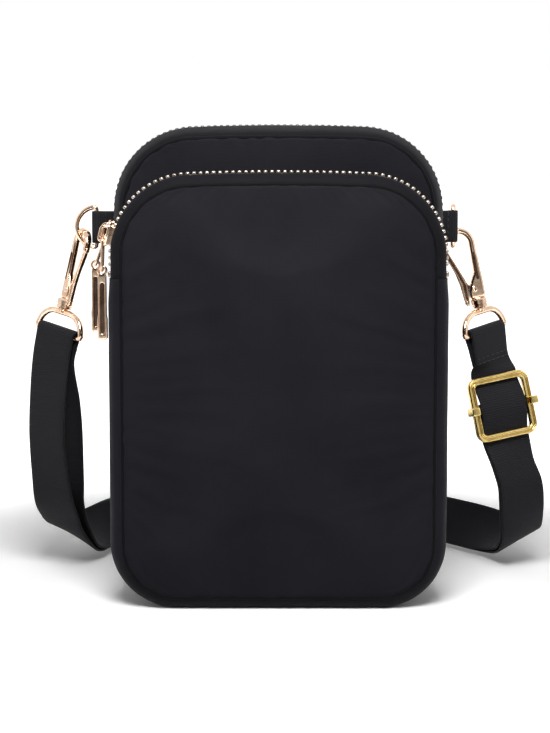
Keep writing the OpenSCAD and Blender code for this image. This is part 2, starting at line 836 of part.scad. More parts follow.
// Hooks hang on the bows of the side rings
left_lean = 12.9;
right_lean = -12;
left_turn = 118;
right_turn = 0;
left_ring_turn = -38;
right_ring_turn = 42;
left_bow_down = 48;
right_bow_down = 56;
left_wire = wire_spot(-1, left_tab_angle, left_bow_turn, left_bow_down);
right_wire = wire_spot(1, right_tab_angle, right_bow_turn, right_bow_down);
function wire_spot(side, tab_turn, bow_turn, down) =
    let (out = ring_bow_r * cos(down))
    [side * (tab_root_x + tab_knee + tab_l * cos(tab_turn) + out * cos(tab_turn + bow_turn)),
     tab_root_y + tab_l * sin(tab_turn) + out * sin(tab_turn + bow_turn),
     ring_z - ring_bow_r * sin(down)];

module left_clasp() {
    translate(left_wire) rotate([0, left_lean, 0]) rotate([0, 0, left_turn]) children();
}

module right_clasp() {
    translate(right_wire) rotate([0, right_lean, 0]) rotate([0, 0, right_turn]) children();
}

module left_hook() {
    color(gold) left_clasp() hook_body();
}

module left_gate() {
    color(gold) left_clasp() plate_y(gate_t) gate_shape();
}

module left_gate_rivet() {
    color(gold) left_clasp() rivet();
}

module left_swivel_ring() {
    color(gold) left_clasp() swivel_ring(left_ring_turn - left_turn);
}

module right_hook() {
    color(gold) right_clasp() hook_body();
}

module right_gate() {
    color(gold) right_clasp() plate_y(gate_t) gate_shape();
}

module right_gate_rivet() {
    color(gold) right_clasp() rivet();
}

module right_swivel_ring() {
    color(gold) right_clasp() swivel_ring(right_ring_turn - right_turn);
}

// Frames of the strap's ends: a point, an upward and an across direction
function spin(v, a) = [v[0] * cos(a) - v[1] * sin(a), v[0] * sin(a) + v[1] * cos(a), v[2]];
function lean(v, a) = [v[0] * cos(a) + v[2] * sin(a), v[1], -v[0] * sin(a) + v[2] * cos(a)];
left_up = lean([0, 0, 1], left_lean);
right_up = lean([0, 0, 1], right_lean);
left_across = lean(spin([-1, 0, 0], left_ring_turn), left_lean);
right_across = lean(spin([1, 0, 0], right_ring_turn), right_lean);
left_bar = left_wire + lean(spin([collar_x, 0, swivel_bar_z], left_turn), left_lean);
right_bar = right_wire + lean(spin([collar_x, 0, swivel_bar_z], right_turn), right_lean);
adjuster_spot = [93.3, 23.5, 73];
adjuster_up = unit([-0.2, 0.12, 0.97]);
adjuster_across = square_to([0.94, 0.34, 0.12], adjuster_up);

function unit(v) = v / norm(v);
function square_to(v, up) = unit(v - up * (v * up));
// A place beside a frame: depth is inward, away from the outer face
function beside(spot, up, across, depth, rise) = spot + cross(up, across) * depth + up * rise;

// Adjuster: a frame, and a bar behind it whose ends clasp the frame's sides
frame_in = webbing_w / 2 + 0.65;
frame_out = frame_in + adjuster_bar_w;
frame_t = 2.2;
frame_corner_r = 4;
frame_half_l = adjuster_l / 2;
frame_groove = 0.6;
slide_bar_r = 1.1;
slide_bar_depth = frame_t / 2 + 0.3 + slide_bar_r;
clamp_gap = 0.3;
clamp_t = 1;
clamp_l = 3.2;
clamp_lip = 2.6;

// Puts X across the strap, Y inward and Z up the strap
module adjuster_place() {
    inward = cross(adjuster_up, adjuster_across);
    multmatrix([
        [adjuster_across[0], inward[0], adjuster_up[0], adjuster_spot[0]],
        [adjuster_across[1], inward[1], adjuster_up[1], adjuster_spot[1]],
        [adjuster_across[2], inward[2], adjuster_up[2], adjuster_spot[2]],
        [0, 0, 0, 1]
    ]) children();
}

module rounded(half_x, half_z, r) {
    for (x = [-1, 1], z = [-1, 1])
        translate([x * (half_x - r), z * (half_z - r)]) circle(r, $fn = 48);
    square([2 * (half_x - r), 2 * half_z], center = true);
    square([2 * half_x, 2 * (half_z - r)], center = true);
}

module adjuster_frame() {
    color(pale_gold) adjuster_place() difference() {
        plate_y(frame_t) difference() {
            rounded(frame_out, frame_half_l, frame_corner_r);
            rounded(frame_in, frame_half_l - adjuster_bar_w, frame_corner_r - adjuster_bar_w);
        }
        // Groove round the front face
        translate([0, -frame_t / 2, 0]) plate_y(frame_groove) difference() {
            rounded(frame_out - over, frame_half_l - over, frame_corner_r - over);
            rounded(frame_in + over, frame_half_l - adjuster_bar_w + over,
                frame_corner_r - adjuster_bar_w + over);
        }
    }
}

module adjuster_bar() {
    color(pale_gold) adjuster_place() {
        translate([-frame_out, slide_bar_depth, 0]) rotate([0, 90, 0])
            cylinder(r = slide_bar_r, h = 2 * frame_out);
        both_sides() translate([0, 0, -clamp_l / 2]) {
            outer_x = frame_out + clamp_gap;
            front_y = -frame_t / 2 - clamp_gap - clamp_t;
            translate([outer_x, front_y, 0])
                cube([clamp_t, slide_bar_depth + slide_bar_r - front_y, clamp_l]);
            translate([outer_x - clamp_lip, front_y, 0]) cube([clamp_lip + seat, clamp_t, clamp_l]);
            translate([outer_x - clamp_lip, slide_bar_depth - slide_bar_r + 0.1, 0])
                cube([clamp_lip + seat, 2 * slide_bar_r - 0.1, clamp_l]);
        }
    }
}

// The strap's middle line and the direction across it, place by place.
// It starts at the right ring, runs through the adjuster and round behind the
// pouch to the left ring, then comes back inside itself to the adjuster's bar.
wrap_r = swivel_wire_r + webbing_t / 2 + 0.1;
wrap_steps = 8;
function wrap(spot, up, across, side, r) = [for (i = [0:wrap_steps])
    let (a = 180 * i / wrap_steps) [beside(spot, up, across, side * r * cos(a), r * sin(a)), across]];
tail_stations = [
    [beside(right_bar, right_up, right_across, webbing_t * 0.6, -13), right_across],
    [beside(right_bar, right_up, right_across, webbing_t * 0.8, -9), right_across],
    [beside(right_bar, right_up, right_across, wrap_r - 0.5, -3.5), right_across]
];
weave_depth = frame_t / 2 + 0.3 + webbing_t / 2;
weave_bulge = -slide_bar_depth + slide_bar_r + webbing_t * 1.5 + 0.5;
// Each place holds a point, a direction across, and the inner layer's distance
run_stations = [
    [beside(right_bar, right_up, right_across, 0.5 - wrap_r, -3.5), right_across, 2],
    [beside(right_bar, right_up, right_across, -webbing_t * 0.6, -12), right_across, 2],
    [beside(adjuster_spot, adjuster_up, adjuster_across, weave_depth, 15), adjuster_across, 2],
    [beside(adjuster_spot, adjuster_up, adjuster_across, weave_depth, 11), adjuster_across, 2],
    [beside(adjuster_spot, adjuster_up, adjuster_across, -weave_bulge, 3), adjuster_across, 2],
    [beside(adjuster_spot, adjuster_up, adjuster_across, -weave_bulge, -3), adjuster_across, 2],
    [beside(adjuster_spot, adjuster_up, adjuster_across, weave_depth, -11), adjuster_across, 1.8],
    [beside(adjuster_spot, adjuster_up, adjuster_across, weave_depth, -15), adjuster_across, 1.8],
    [[98.5, 22, 49], [0.85, 0.52, 0.05], 1.8],
    [[101.7, 23.5, 38.4], [0.86, 0.5, -0.05], 1.8],
    [[103.6, 32.5, 24.5], [0.83, 0.55, -0.04], 1.8],
    [[104.2, 43, 13.9], [0.75, 0.66, 0.1], 1.8],
    [[101.3, 56, 9.6], [0.5, 0.78, 0.38], 1.8],
    [[92.6, 71.5, 10.4], [0.32, 0.5, 0.8], 1.8],
    [[76.3, 90.5, 11.6], [0.05, 0.11, 0.99], 1.8],
    [[60, 113.5, 11.2], [0, 0.1, 1], 1.8],
    [[34, 127.5, 11.2], [0, 0.1, 1], 1.8],
    [[0, 131.5, 11.2], [0, 0.08, 1], 1.8],
    [[-34, 127.5, 11.2], [0, 0.1, 1], 1.8],
    [[-60, 113.5, 11.2], [0, 0.1, 1], 1.8],
    [[-74.5, 90.5, 11.6], [0.02, 0.11, 0.99], 1.8],
    [[-80.2, 75.5, 10.8], [-0.22, 0.5, 0.84], 1.9],
    [[-85.4, 61, 10.4], [-0.46, 0.75, 0.45], 2.2],
    [[-89.6, 49, 14.5], [-0.62, 0.78, 0.08], 4],
    [[-93, 39.5, 22], [-0.7, 0.7, -0.16], 6],
    [[-94.9, 28, 35.8], [-0.76, 0.62, -0.18], 9],
    [[-96.2, 21.5, 59], [-0.75, 0.65, -0.1], 10.5],
    [[-95.4, 19.5, 77], [-0.77, 0.63, -0.01], 8],
    [beside(left_bar, left_up, left_across, webbing_t * 0.8, -12), left_across, 3.2],
    [beside(left_bar, left_up, left_across, wrap_r - 0.3, -4), left_across, 3.4]
];

// A smooth line through the places, with the directions and distances following
run_steps = 5;
function blend(a, b, c, d, t) =
    0.5 * (2 * b + (c - a) * t + (2 * a - 5 * b + 4 * c - d) * t * t + (3 * b - a - 3 * c + d) * pow(t, 3));
function pick(list, i, k) = let (n = len(list))
    i < 0 ? 2 * list[0][k] - list[1][k] : i >= n ? 2 * list[n - 1][k] - list[n - 2][k] : list[i][k];
function smooth_at(list, i, t) = [for (k = [0:2])
    blend(pick(list, i - 1, k), pick(list, i, k), pick(list, i + 1, k), pick(list, i + 2, k), t)];
function smooth_run(list) = concat(
    [for (i = [0:len(list) - 2], j = [0:run_steps - 1]) smooth_at(list, i, j / run_steps)],
    [list[len(list) - 1]]);

function heading(list, i) = let (n = len(list))
    unit(list[min(i + 1, n - 1)][0] - list[max(i - 1, 0)][0]);
function outward(list, i) = let (t = heading(list, i)) cross(t, square_to(list[i][1], t));

outer_run = smooth_run(run_stations);
outer_count = len(outer_run);
// The inner layer ends below the adjuster, where it turns round the adjuster's bar
inner_start = 6 * run_steps + 2;
inner_run = [for (i = [outer_count - 1:-1:inner_start])
    [outer_run[i][0] - outward(outer_run, i) * outer_run[i][2], outer_run[i][1]]];
bar_wrap_r = slide_bar_r + webbing_t / 2 + 0.1;
bar_wrap_stations = concat(
    [for (i = [0:wrap_steps]) let (a = 180 * i / wrap_steps)
        [beside(adjuster_spot, adjuster_up, adjuster_across,
            slide_bar_depth + bar_wrap_r * cos(a), bar_wrap_r * sin(a)), adjuster_across]],
    [[beside(adjuster_spot, adjuster_up, adjuster_across,
        slide_bar_depth - bar_wrap_r + 0.1, -2), adjuster_across]]);
strap_path = concat(
    tail_stations,
    wrap(right_bar, right_up, right_across, 1, wrap_r),
    [for (s = outer_run) [s[0], s[1]]],
    wrap(left_bar, left_up, left_across, 1, wrap_r),
    inner_run,
    bar_wrap_stations);

module strap_webbing() {
    n = len(strap_path);
    half_w = webbing_w / 2;
    half_t = webbing_t / 2;
    points = [for (i = [0:n - 1])
        let (p = strap_path[i][0], t = heading(strap_path, i),
             w = square_to(strap_path[i][1], t), o = cross(t, w))
        each [p + w * half_w + o * half_t, p - w * half_w + o * half_t,
              p - w * half_w - o * half_t, p + w * half_w - o * half_t]];
    sides = [for (i = [0:n - 2], k = [0:3])
        let (a = 4 * i + k, b = 4 * (i + 1) + k, c = 4 * (i + 1) + (k + 1) % 4, d = 4 * i + (k + 1) % 4)
        each [[a, b, c], [a, c, d]]];
    last = 4 * (n - 1);
    color(webbing) polyhedron(points,
        concat(sides, [[0, 1, 2, 3], [last + 3, last + 2, last + 1, last]]), convexity = 10);
}

front_panel_skin();
front_panel_padding();
front_panel_lining();
middle_panel_skin();
middle_panel_padding();
middle_panel_lining();
back_panel_skin();
back_panel_padding();
back_panel_lining();
front_gusset_lower();
front_zip_strip_fore();
front_zip_strip_aft();
main_gusset_lower();
main_zip_strip_fore();
main_zip_strip_aft();
front_seam_binding();
middle_seam_binding();
back_seam_binding();
front_zip_tape_fore();
front_zip_tape_aft();
main_zip_tape_fore();
main_zip_tape_aft();
front_zip_teeth_fore();
front_zip_teeth_aft();
main_zip_teeth_fore();
main_zip_teeth_aft();
front_zip_stops();
main_zip_stops();
front_zip_slider();
front_pull_link();
front_pull_bar();
main_zip_slider();
main_pull_link();
main_pull_bar();
left_tab();
right_tab();
left_side_ring();
right_side_ring();
left_hook();
left_gate();
left_gate_rivet();
left_swivel_ring();
right_hook();
right_gate();
right_gate_rivet();
right_swivel_ring();
adjuster_frame();
adjuster_bar();
strap_webbing();
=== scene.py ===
"""Scene of a two-compartment nylon phone pouch with zips, snap hooks and a webbing strap.

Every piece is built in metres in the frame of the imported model, rides on one of
its bodies, and stands for the solids named in its call.
"""
import sys
import logging
import math
from dataclasses import dataclass, field
from enum import Enum
from typing import Optional, Sequence

import bmesh
import bpy
from mathutils import Matrix, Vector, noise
from mathutils.kdtree import KDTree


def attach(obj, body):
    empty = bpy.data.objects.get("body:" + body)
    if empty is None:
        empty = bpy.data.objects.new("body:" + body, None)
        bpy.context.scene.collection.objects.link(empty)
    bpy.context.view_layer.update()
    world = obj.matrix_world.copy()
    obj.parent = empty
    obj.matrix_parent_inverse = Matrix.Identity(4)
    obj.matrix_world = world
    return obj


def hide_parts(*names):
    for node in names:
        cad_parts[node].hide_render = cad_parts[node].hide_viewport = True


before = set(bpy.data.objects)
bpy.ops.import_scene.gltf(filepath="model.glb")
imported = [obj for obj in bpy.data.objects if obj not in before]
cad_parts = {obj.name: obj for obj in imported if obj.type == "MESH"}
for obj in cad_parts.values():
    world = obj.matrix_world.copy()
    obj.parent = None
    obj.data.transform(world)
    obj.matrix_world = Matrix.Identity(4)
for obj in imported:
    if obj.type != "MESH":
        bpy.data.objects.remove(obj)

MM = 0.001
log = logging.getLogger("pouch")

Point2 = tuple[float, float]
Ring = list[Vector]
Piece = bpy.types.Object
Material = bpy.types.Material
Socket = bpy.types.NodeSocket


class Body(str, Enum):
    """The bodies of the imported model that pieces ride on."""

    POUCH = "pouch"
    LEFT_RING = "left_ring"
    RIGHT_RING = "right_ring"
    LEFT_HOOK = "left_snap_hook"
    LEFT_GATE = "left_snap_gate"
    RIGHT_HOOK = "right_snap_hook"
    RIGHT_GATE = "right_snap_gate"
    FRONT_SLIDER = "front_slider"
    FRONT_LINK = "front_link"
    FRONT_PULL = "front_pull"
    MAIN_SLIDER = "main_slider"
    MAIN_LINK = "main_link"
    MAIN_PULL = "main_pull"
    ADJUSTER = "adjuster"
    CROSS_BAR = "adjuster_cross_bar"


class Side(Enum):
    """The pouch's two sides as the camera sees them."""

    LEFT = -1
    RIGHT = 1


class Slot(str, Enum):
    """Material slots of the record."""

    SHELL = "shell_fabric"
    TAPE = "zip_tape"
    ZIP_METAL = "zip_metal"
    WEBBING = "webbing"
    ADJUSTER = "adjuster_metal"
    HARDWARE = "hardware_metal"


# ------------------------ finishes


class NodeBook:
    """Short hand for filling a node tree."""

    def __init__(self, tree: bpy.types.NodeTree) -> None:
        """Starts with the tree emptied."""
        self.tree = tree
        tree.nodes.clear()

    def add(self, kind: str, **values: object) -> bpy.types.Node:
        """Adds a node and sets its properties and inputs.

        Args:
            kind: The node's type name.
            values: Properties by name, or inputs by name with spaces as underscores.

        Returns:
            The new node.
        """
        node = self.tree.nodes.new(kind)
        for key, value in values.items():
            if key in node.bl_rna.properties:
                setattr(node, key, value)
            else:
                self.feed(node.inputs[key.replace("_", " ")], value)
        return node

    def feed(self, target: Socket, value: object) -> None:
        """Gives an input a socket to read or a plain value."""
        if isinstance(value, Socket):
            self.tree.links.new(value, target)
        else:
            target.default_value = value

    def maths(self, operation: str, first: object, second: object = 0.0) -> Socket:
        """Adds a math node on sockets or numbers.

        Args:
            operation: The math operation's name.
            first: A socket or a number.
            second: A socket or a number.

        Returns:
            The value's socket.
        """
        node = self.add("ShaderNodeMath", operation=operation)
        for place, value in enumerate((first, second)):
            self.feed(node.inputs[place], value)
        return node.outputs[0]

    def spread(self, value: Socket, low: float, high: object) -> Socket:
        """Maps a value from 0..1 to low..high and returns its socket."""
        return self.add("ShaderNodeMapRange", To_Min=low, To_Max=high, Value=value).outputs["Result"]


class MaterialBook(NodeBook):
    """Short hand for filling a material's node tree."""

    def __init__(self, name: str) -> None:
        """Starts a new material with an empty tree."""
        self.material = bpy.data.materials.new(name)
        self.material.use_nodes = True
        super().__init__(self.material.node_tree)

    def ramp(self, value: Socket, stops: Sequence[tuple[float, tuple]]) -> Socket:
        """Maps a value to colours.

        Args:
            value: The socket to read.
            stops: Pairs of a place and a linear colour.

        Returns:
            The colour's socket.
        """
        node = self.add("ShaderNodeValToRGB")
        points = node.color_ramp.elements
        while len(points) < len(stops):
            points.new(0.5)
        for element, (place, colour) in zip(points, stops):
            element.position = place
            element.color = (*colour[:3], 1.0)
        self.feed(node.inputs["Fac"], value)
        return node.outputs["Color"]

    def cloud(self, scale: float, detail: float = 4.0, rough: float = 0.55) -> Socket:
        """Adds noise on Object coordinates and returns its value's socket."""
        place = self.add("ShaderNodeTexCoord").outputs["Object"]
        node = self.add("ShaderNodeTexNoise", Scale=scale, Detail=detail, Roughness=rough, Vector=place)
        return node.outputs["Fac"]

    def threads(self, pitch: float, along: bool, sharp: float = 1.0) -> Socket:
        """Adds ridges that follow the piece's own UV map, whose unit is a metre.

        Args:
            pitch: Distance between ridges in metres.
            along: True for ridges that repeat along the piece, False across it.
            sharp: Power that narrows the ridges.

        Returns:
            The socket of the ridges' height, from 0 to 1.
        """
        layer = self.add("ShaderNodeUVMap", uv_map="weave")
        parts = self.add("ShaderNodeSeparateXYZ", Vector=layer.outputs["UV"])
        turn = self.maths("MULTIPLY", parts.outputs[1 if along else 0], 2 * math.pi / pitch)
        wave = self.maths("MULTIPLY_ADD", self.maths("SINE", turn), 0.5)
        wave.node.inputs[2].default_value = 0.5
        return self.maths("POWER", wave, sharp) if sharp != 1.0 else wave

    def bump(
        self,
        height: Socket,
        distance: float,
        strength: float = 1.0,
        under: Optional[Socket] = None,
    ) -> Socket:
        """Turns a height into a normal.

        Args:
            height: The height's socket, from 0 to 1.
            distance: The relief's depth in metres.
            strength: How much of it shows.
            under: Another bump's normal to add to.

        Returns:
            The normal's socket.
        """
        node = self.add("ShaderNodeBump", Strength=strength, Distance=distance, Height=height)
        if under is not None:
            self.feed(node.inputs["Normal"], under)
        return node.outputs["Normal"]

    def finish(self, shader: bpy.types.Node) -> Material:
        """Sends a shader to the output and returns the material."""
        self.add("ShaderNodeOutputMaterial", Surface=shader.outputs[0])
        return self.material

    def cover(self, shader: bpy.types.Node, colour: Socket, rough: Socket, normal: Socket) -> Material:
        """Feeds a shader's colour, roughness and normal, and finishes the material."""
        for name, value in (("Base Color", colour), ("Roughness", rough), ("Normal", normal)):
            self.feed(shader.inputs[name], value)
        return self.finish(shader)


@dataclass(frozen=True)
class NylonFinish:
    """Brushed black nylon with a fine twill and a soft sheen."""

    name: str = "black_nylon"
    dark: tuple = (0.0078, 0.0077, 0.0104)
    light: tuple = (0.0117, 0.0114, 0.0148)
    rough: tuple = (0.56, 0.72)
    sheen: float = 0.025
    thread: float = 0.00042
    weave_depth: float = 0.00005
    crease_depth: float = 0.0009

    def build(self) -> Material:
        """Makes the material.

        Returns:
            The nylon's material.
        """
        book = MaterialBook(self.name)
        shader = book.add("ShaderNodeBsdfPrincipled", Specular_IOR_Level=0.07, Sheen_Weight=self.sheen,
                          Sheen_Roughness=0.45, Sheen_Tint=(0.86, 0.87, 1.0, 1.0))
        broad = book.cloud(26.0, 3.0)
        colour = book.ramp(broad, [(0.3, self.dark), (0.72, self.light)])
        warp = book.threads(self.thread, False)
        weft = book.threads(self.thread * 1.25, True)
        twill = book.maths("MAXIMUM", warp, weft)
        creases = book.bump(book.cloud(34.0, 2.0, 0.4), self.crease_depth, 0.25)
        return book.cover(shader, colour, book.spread(book.cloud(140.0), *self.rough),
                          book.bump(twill, self.weave_depth, 0.6, creases))


@dataclass(frozen=True)
class WebbingFinish:
    """Dense polyester webbing with ribs across it and a plain rolled edge."""

    name: str = "strap_webbing"
    dark: tuple = (0.0102, 0.01, 0.0126)
    light: tuple = (0.0168, 0.0164, 0.0196)
    rib: float = 0.00095
    rib_depth: float = 0.0001
    strand: float = 0.00075
    fray_depth: float = 0.00015
    sheen: float = 0.03

    def build(self) -> Material:
        """Makes the material.

        Returns:
            The webbing's material.
        """
        book = MaterialBook(self.name)
        shader = book.add("ShaderNodeBsdfPrincipled", Specular_IOR_Level=0.09, Sheen_Weight=self.sheen,
                          Sheen_Roughness=0.4)
        ribs = book.threads(self.rib, True, 0.8)
        strands = book.spread(book.threads(self.strand, False), 0.72, 1.0)
        fuzz = book.cloud(420.0, 3.0)
        depth = book.maths("MULTIPLY", ribs, strands)
        # Painted shade: the colour darkens in the valleys between ribs and strands, mixed with random fibre tone
        # from the fuzz.
        shade = book.maths("MULTIPLY_ADD", depth, 0.5)
        book.feed(shade.node.inputs[2], book.maths("MULTIPLY", fuzz, 0.5))
        frayed = book.bump(fuzz, self.fray_depth, 0.3)
        return book.cover(shader, book.ramp(shade, [(0.1, self.dark), (0.85, self.light)]),
                          book.spread(fuzz, 0.5, 0.75), book.bump(depth, self.rib_depth, 0.9, frayed))


@dataclass(frozen=True)
class FibreFinish:
    """Fuzzy polyester fibre: sewing thread, or zip tape where it has a herringbone's pitch."""

    name: str = "sewing_thread"
    colour: tuple = (0.012, 0.012, 0.014)
    lighter: float = 1.8
    full: float = 0.7
    sheen: float = 0.1
    gloss: float = 0.25
    fuzz: tuple = (1500.0, 2.0)
    rough: tuple = (0.45, 0.65)
    relief: tuple = (0.0001, 0.6)
    pitch: float = 0.0

    def build(self) -> Material:
        """Makes the material.

        Returns:
            The fibre's material.
        """
        book = MaterialBook(self.name)
        shader = book.add("ShaderNodeBsdfPrincipled", Sheen_Weight=self.sheen, Specular_IOR_Level=self.gloss)
        fuzz = height = book.cloud(*self.fuzz)
        if self.pitch:
            warp, weft = book.threads(self.pitch * 1.6, False), book.threads(self.pitch, True)
            height = book.maths("MULTIPLY", weft, warp)
        lighter = tuple(self.lighter * part for part in self.colour)
        return book.cover(shader, book.ramp(fuzz, [(0.3, self.colour), (self.full, lighter)]),
                          book.spread(fuzz, *self.rough), book.bump(height, *self.relief))


@dataclass(frozen=True)
class PlatedFinish:
    """Polished plated casting with faint handling marks; its darkest copy paints shade on groove floors."""

    name: str
    bright: tuple
    dull: tuple
    rough: tuple = (0.1, 0.24)
    pits: float = 0.00004

    def build(self) -> Material:
        """Makes the material.

        Returns:
            The plating's material.
        """
        book = MaterialBook(self.name)
        shader = book.add("ShaderNodeBsdfPrincipled", Metallic=1.0)
        marks = book.cloud(210.0, 5.0, 0.65)
        return book.cover(shader, book.ramp(marks, [(0.25, self.dull), (0.62, self.bright)]),
                          book.spread(book.cloud(520.0, 3.0), *self.rough),
                          book.bump(book.cloud(900.0, 2.0), self.pits, 0.35))


def made(finish: NylonFinish | WebbingFinish | FibreFinish | PlatedFinish) -> Material:
    """A field that holds the material of a finish."""
    return field(default_factory=finish.build)


@dataclass
class Finishes:
    """Every material of the pouch, made once."""

    nylon: Material = made(NylonFinish())
    # Painted shade: a darker copy of the shell nylon for the zip strips, which face up and catch more light.
    strip: Material = made(NylonFinish(
        "strip_nylon", (0.0052, 0.0051, 0.0068), (0.0078, 0.0076, 0.0098)))
    # Real binding and painted shade: near-black nylon for the back seam's binding and for the front and middle
    # seams' cords, which stand in for those seams' shade lines.
    binding: Material = made(NylonFinish(
        "binding_nylon", (0.003, 0.003, 0.0038), (0.0045, 0.0045, 0.0056), (0.6, 0.74), 0.01))
    webbing: Material = made(WebbingFinish())
    tape: Material = made(FibreFinish(
        "zip_tape", (0.008, 0.008, 0.0095), 1.7, 0.8, 0.06, 0.16, (300.0, 4.0), (0.6, 0.8), (0.00012, 0.8), 0.0007))
    thread: Material = made(FibreFinish())
    rose: Material = made(PlatedFinish(
        "rose_gold_plate", (0.88, 0.68, 0.52), (0.62, 0.35, 0.2), (0.07, 0.18)))
    # Painted shade: a near-black copy of the plating for the floors of grooves and channels, where only shade
    # falls.
    painted_groove_shade: Material = made(PlatedFinish(
        "plating_in_grooves", (0.14, 0.085, 0.06), (0.05, 0.03, 0.022), (0.25, 0.4)))
    brass: Material = made(PlatedFinish(
        "yellow_gold_plate", (0.86, 0.66, 0.27), (0.66, 0.46, 0.14), (0.12, 0.26)))
    tooth: Material = made(PlatedFinish(
        "pale_gold_teeth", (0.6, 0.52, 0.45), (0.22, 0.17, 0.13), (0.22, 0.38)))
    # Painted shade and painted dark reflection: a dark copy of the teeth's plating for the main zip's teeth and
    # stops.
    painted_shade_tooth: Material = made(PlatedFinish(
        "dull_gold_teeth", (0.13, 0.11, 0.09), (0.04, 0.03, 0.025), (0.35, 0.5)))


# ------------------------ mesh tools


def say(obj: Piece) -> Piece:
    """Reports a finished piece in the log and returns it."""
    log.info("%s: %d faces", obj.name, len(obj.data.polygons))
    return obj


def new_mesh_object(name: str, mesh: bpy.types.Mesh) -> Piece:
    """Links a mesh as a new object at the origin and returns it."""
    obj = bpy.data.objects.new(name, mesh)
    bpy.context.scene.collection.objects.link(obj)
    return obj


def smooth_shade(obj: Piece, angle: float = 180.0) -> None:
    """Shades an object smooth, with sharp edges above an angle in degrees."""
    mesh = obj.data
    mesh.polygons.foreach_set("use_smooth", [True] * len(mesh.polygons))
    if angle < 180.0:
        work = bmesh.new()
        work.from_mesh(mesh)
        for edge in work.edges:
            if len(edge.link_faces) == 2 and edge.calc_face_angle(0.0) > math.radians(angle):
                edge.smooth = False
        work.to_mesh(mesh)
        work.free()


def close_up(mesh: bpy.types.Mesh, weld: float = 0.0) -> None:
    """Welds doubles if asked, and turns a closed shell's faces outwards.

    Args:
        mesh: The mesh to change.
        weld: Distance within which points are merged, in metres.
    """
    work = bmesh.new()
    work.from_mesh(mesh)
    if weld:
        bmesh.ops.remove_doubles(work, verts=work.verts, dist=weld)
    bmesh.ops.recalc_face_normals(work, faces=work.faces)
    work.to_mesh(mesh)
    work.free()


def spin(degrees: float, axis: str, size: int = 4) -> Matrix:
    """A turn about one axis."""
    return Matrix.Rotation(math.radians(degrees), size, axis)


def shift(x: float = 0.0, y: float = 0.0, z: float = 0.0) -> Matrix:
    """A move along the axes."""
    return Matrix.Translation((x, y, z))


def moved(obj: Piece, matrix: Matrix) -> Piece:
    """Moves an object's mesh itself, so that the object stays at the origin.

    Args:
        obj: The object.
        matrix: The move, which may mirror.

    Returns:
        The same object.
    """
    obj.data.transform(matrix)
    if matrix.determinant() < 0:
        obj.data.flip_normals()
    obj.data.update()
    return obj


def joined(name: str, parts: Sequence[Piece]) -> Piece:
    """Makes one object of several, whose meshes lie in the same frame.

    Args:
        name: The new object's name.
        parts: The objects, which are removed.

    Returns:
        The joined object.
    """
    work = bmesh.new()
    for part in parts:
        work.from_mesh(part.data)
    mesh = bpy.data.meshes.new(name)
    work.to_mesh(mesh)
    work.free()
    for part in parts:
        bpy.data.objects.remove(part, do_unlink=True)
    return new_mesh_object(name, mesh)


def dress(
    obj: Piece,
    material: Material,
    body: Body,
    nodes: Sequence[str] = (),
    grooves: Optional[Material] = None,
) -> Piece:
    """Gives a piece its finish, its body and the solids it stands for.

    Args:
        obj: The piece.
        material: Its material.
        body: The body it rides on.
        nodes: The solids it replaces.
        grooves: The finish of the faces that lie in its grooves, a dark plating that paints their shade.

    Returns:
        The piece.
    """
    faces = obj.data.polygons
    marks = [face.material_index for face in faces]
    obj.data.materials.clear()
    obj.data.materials.append(material)
    if grooves:
        obj.data.materials.append(grooves)
        faces.foreach_set("material_index", marks)
    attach(obj, body.value)
    if nodes:
        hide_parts(*nodes)
    return say(obj)


def woven_grid(
    name: str,
    rows: Sequence[Sequence[Vector]],
    across: Sequence[float],
    along: Sequence[float],
    wrap: bool = False,
    caps: bool = False,
    loop: bool = False,
) -> Piece:
    """Skins rows of points, with a UV map in metres for the weave.

    Args:
        name: The object's name.
        rows: Rows of points in metres, all of one length.
        across: Each column's distance, with one more where the rows wrap.
        along: Each row's distance, with one more where the rows loop.
        wrap: True where each row is a closed ring.
        caps: True to close both ends of a wrapped grid.
        loop: True where the last row joins the first.

    Returns:
        The new object.
    """
    count, width = len(rows), len(rows[0])
    points = [tuple(point) for row in rows for point in row]
    faces: list[tuple[int, ...]] = []
    places: list[Point2] = []
    for r in range(count if loop else count - 1):
        for c in range(width if wrap else width - 1):
            below, right = (r + 1) % count, (c + 1) % width
            faces.append((r * width + c, r * width + right, below * width + right, below * width + c))
            places += [(across[c], along[r]), (across[c + 1], along[r]),
                       (across[c + 1], along[r + 1]), (across[c], along[r + 1])]
    if caps:
        for start in (0, (count - 1) * width):
            faces.append(tuple(range(start, start + width)))
            places += [(across[c], along[0]) for c in range(width)]
    mesh = bpy.data.meshes.new(name)
    mesh.from_pydata(points, [], faces)
    layer = mesh.uv_layers.new(name="weave")
    layer.data.foreach_set("uv", [part for place in places for part in place])
    mesh.update()
    if wrap:
        close_up(mesh)
    obj = new_mesh_object(name, mesh)
    smooth_shade(obj)
    return obj


def spans(points: Sequence[Vector], closed: bool = False) -> list[float]:
    """Running distances along points, with the closing one added where closed."""
    total = [0.0]
    for first, second in zip(points, points[1:]):
        total.append(total[-1] + (second - first).length)
    if closed:
        total.append(total[-1] + (points[0] - points[-1]).length)
    return total


def headings(points: Sequence[Vector], closed: bool = False) -> list[Vector]:
    """Unit directions along a line of points."""
    last = len(points) - 1
    found = []
    for i in range(last + 1):
        before = points[i - 1] if closed or i else points[0]
        after = points[(i + 1) % (last + 1)] if closed or i < last else points[last]
        found.append((after - before).normalized())
    return found


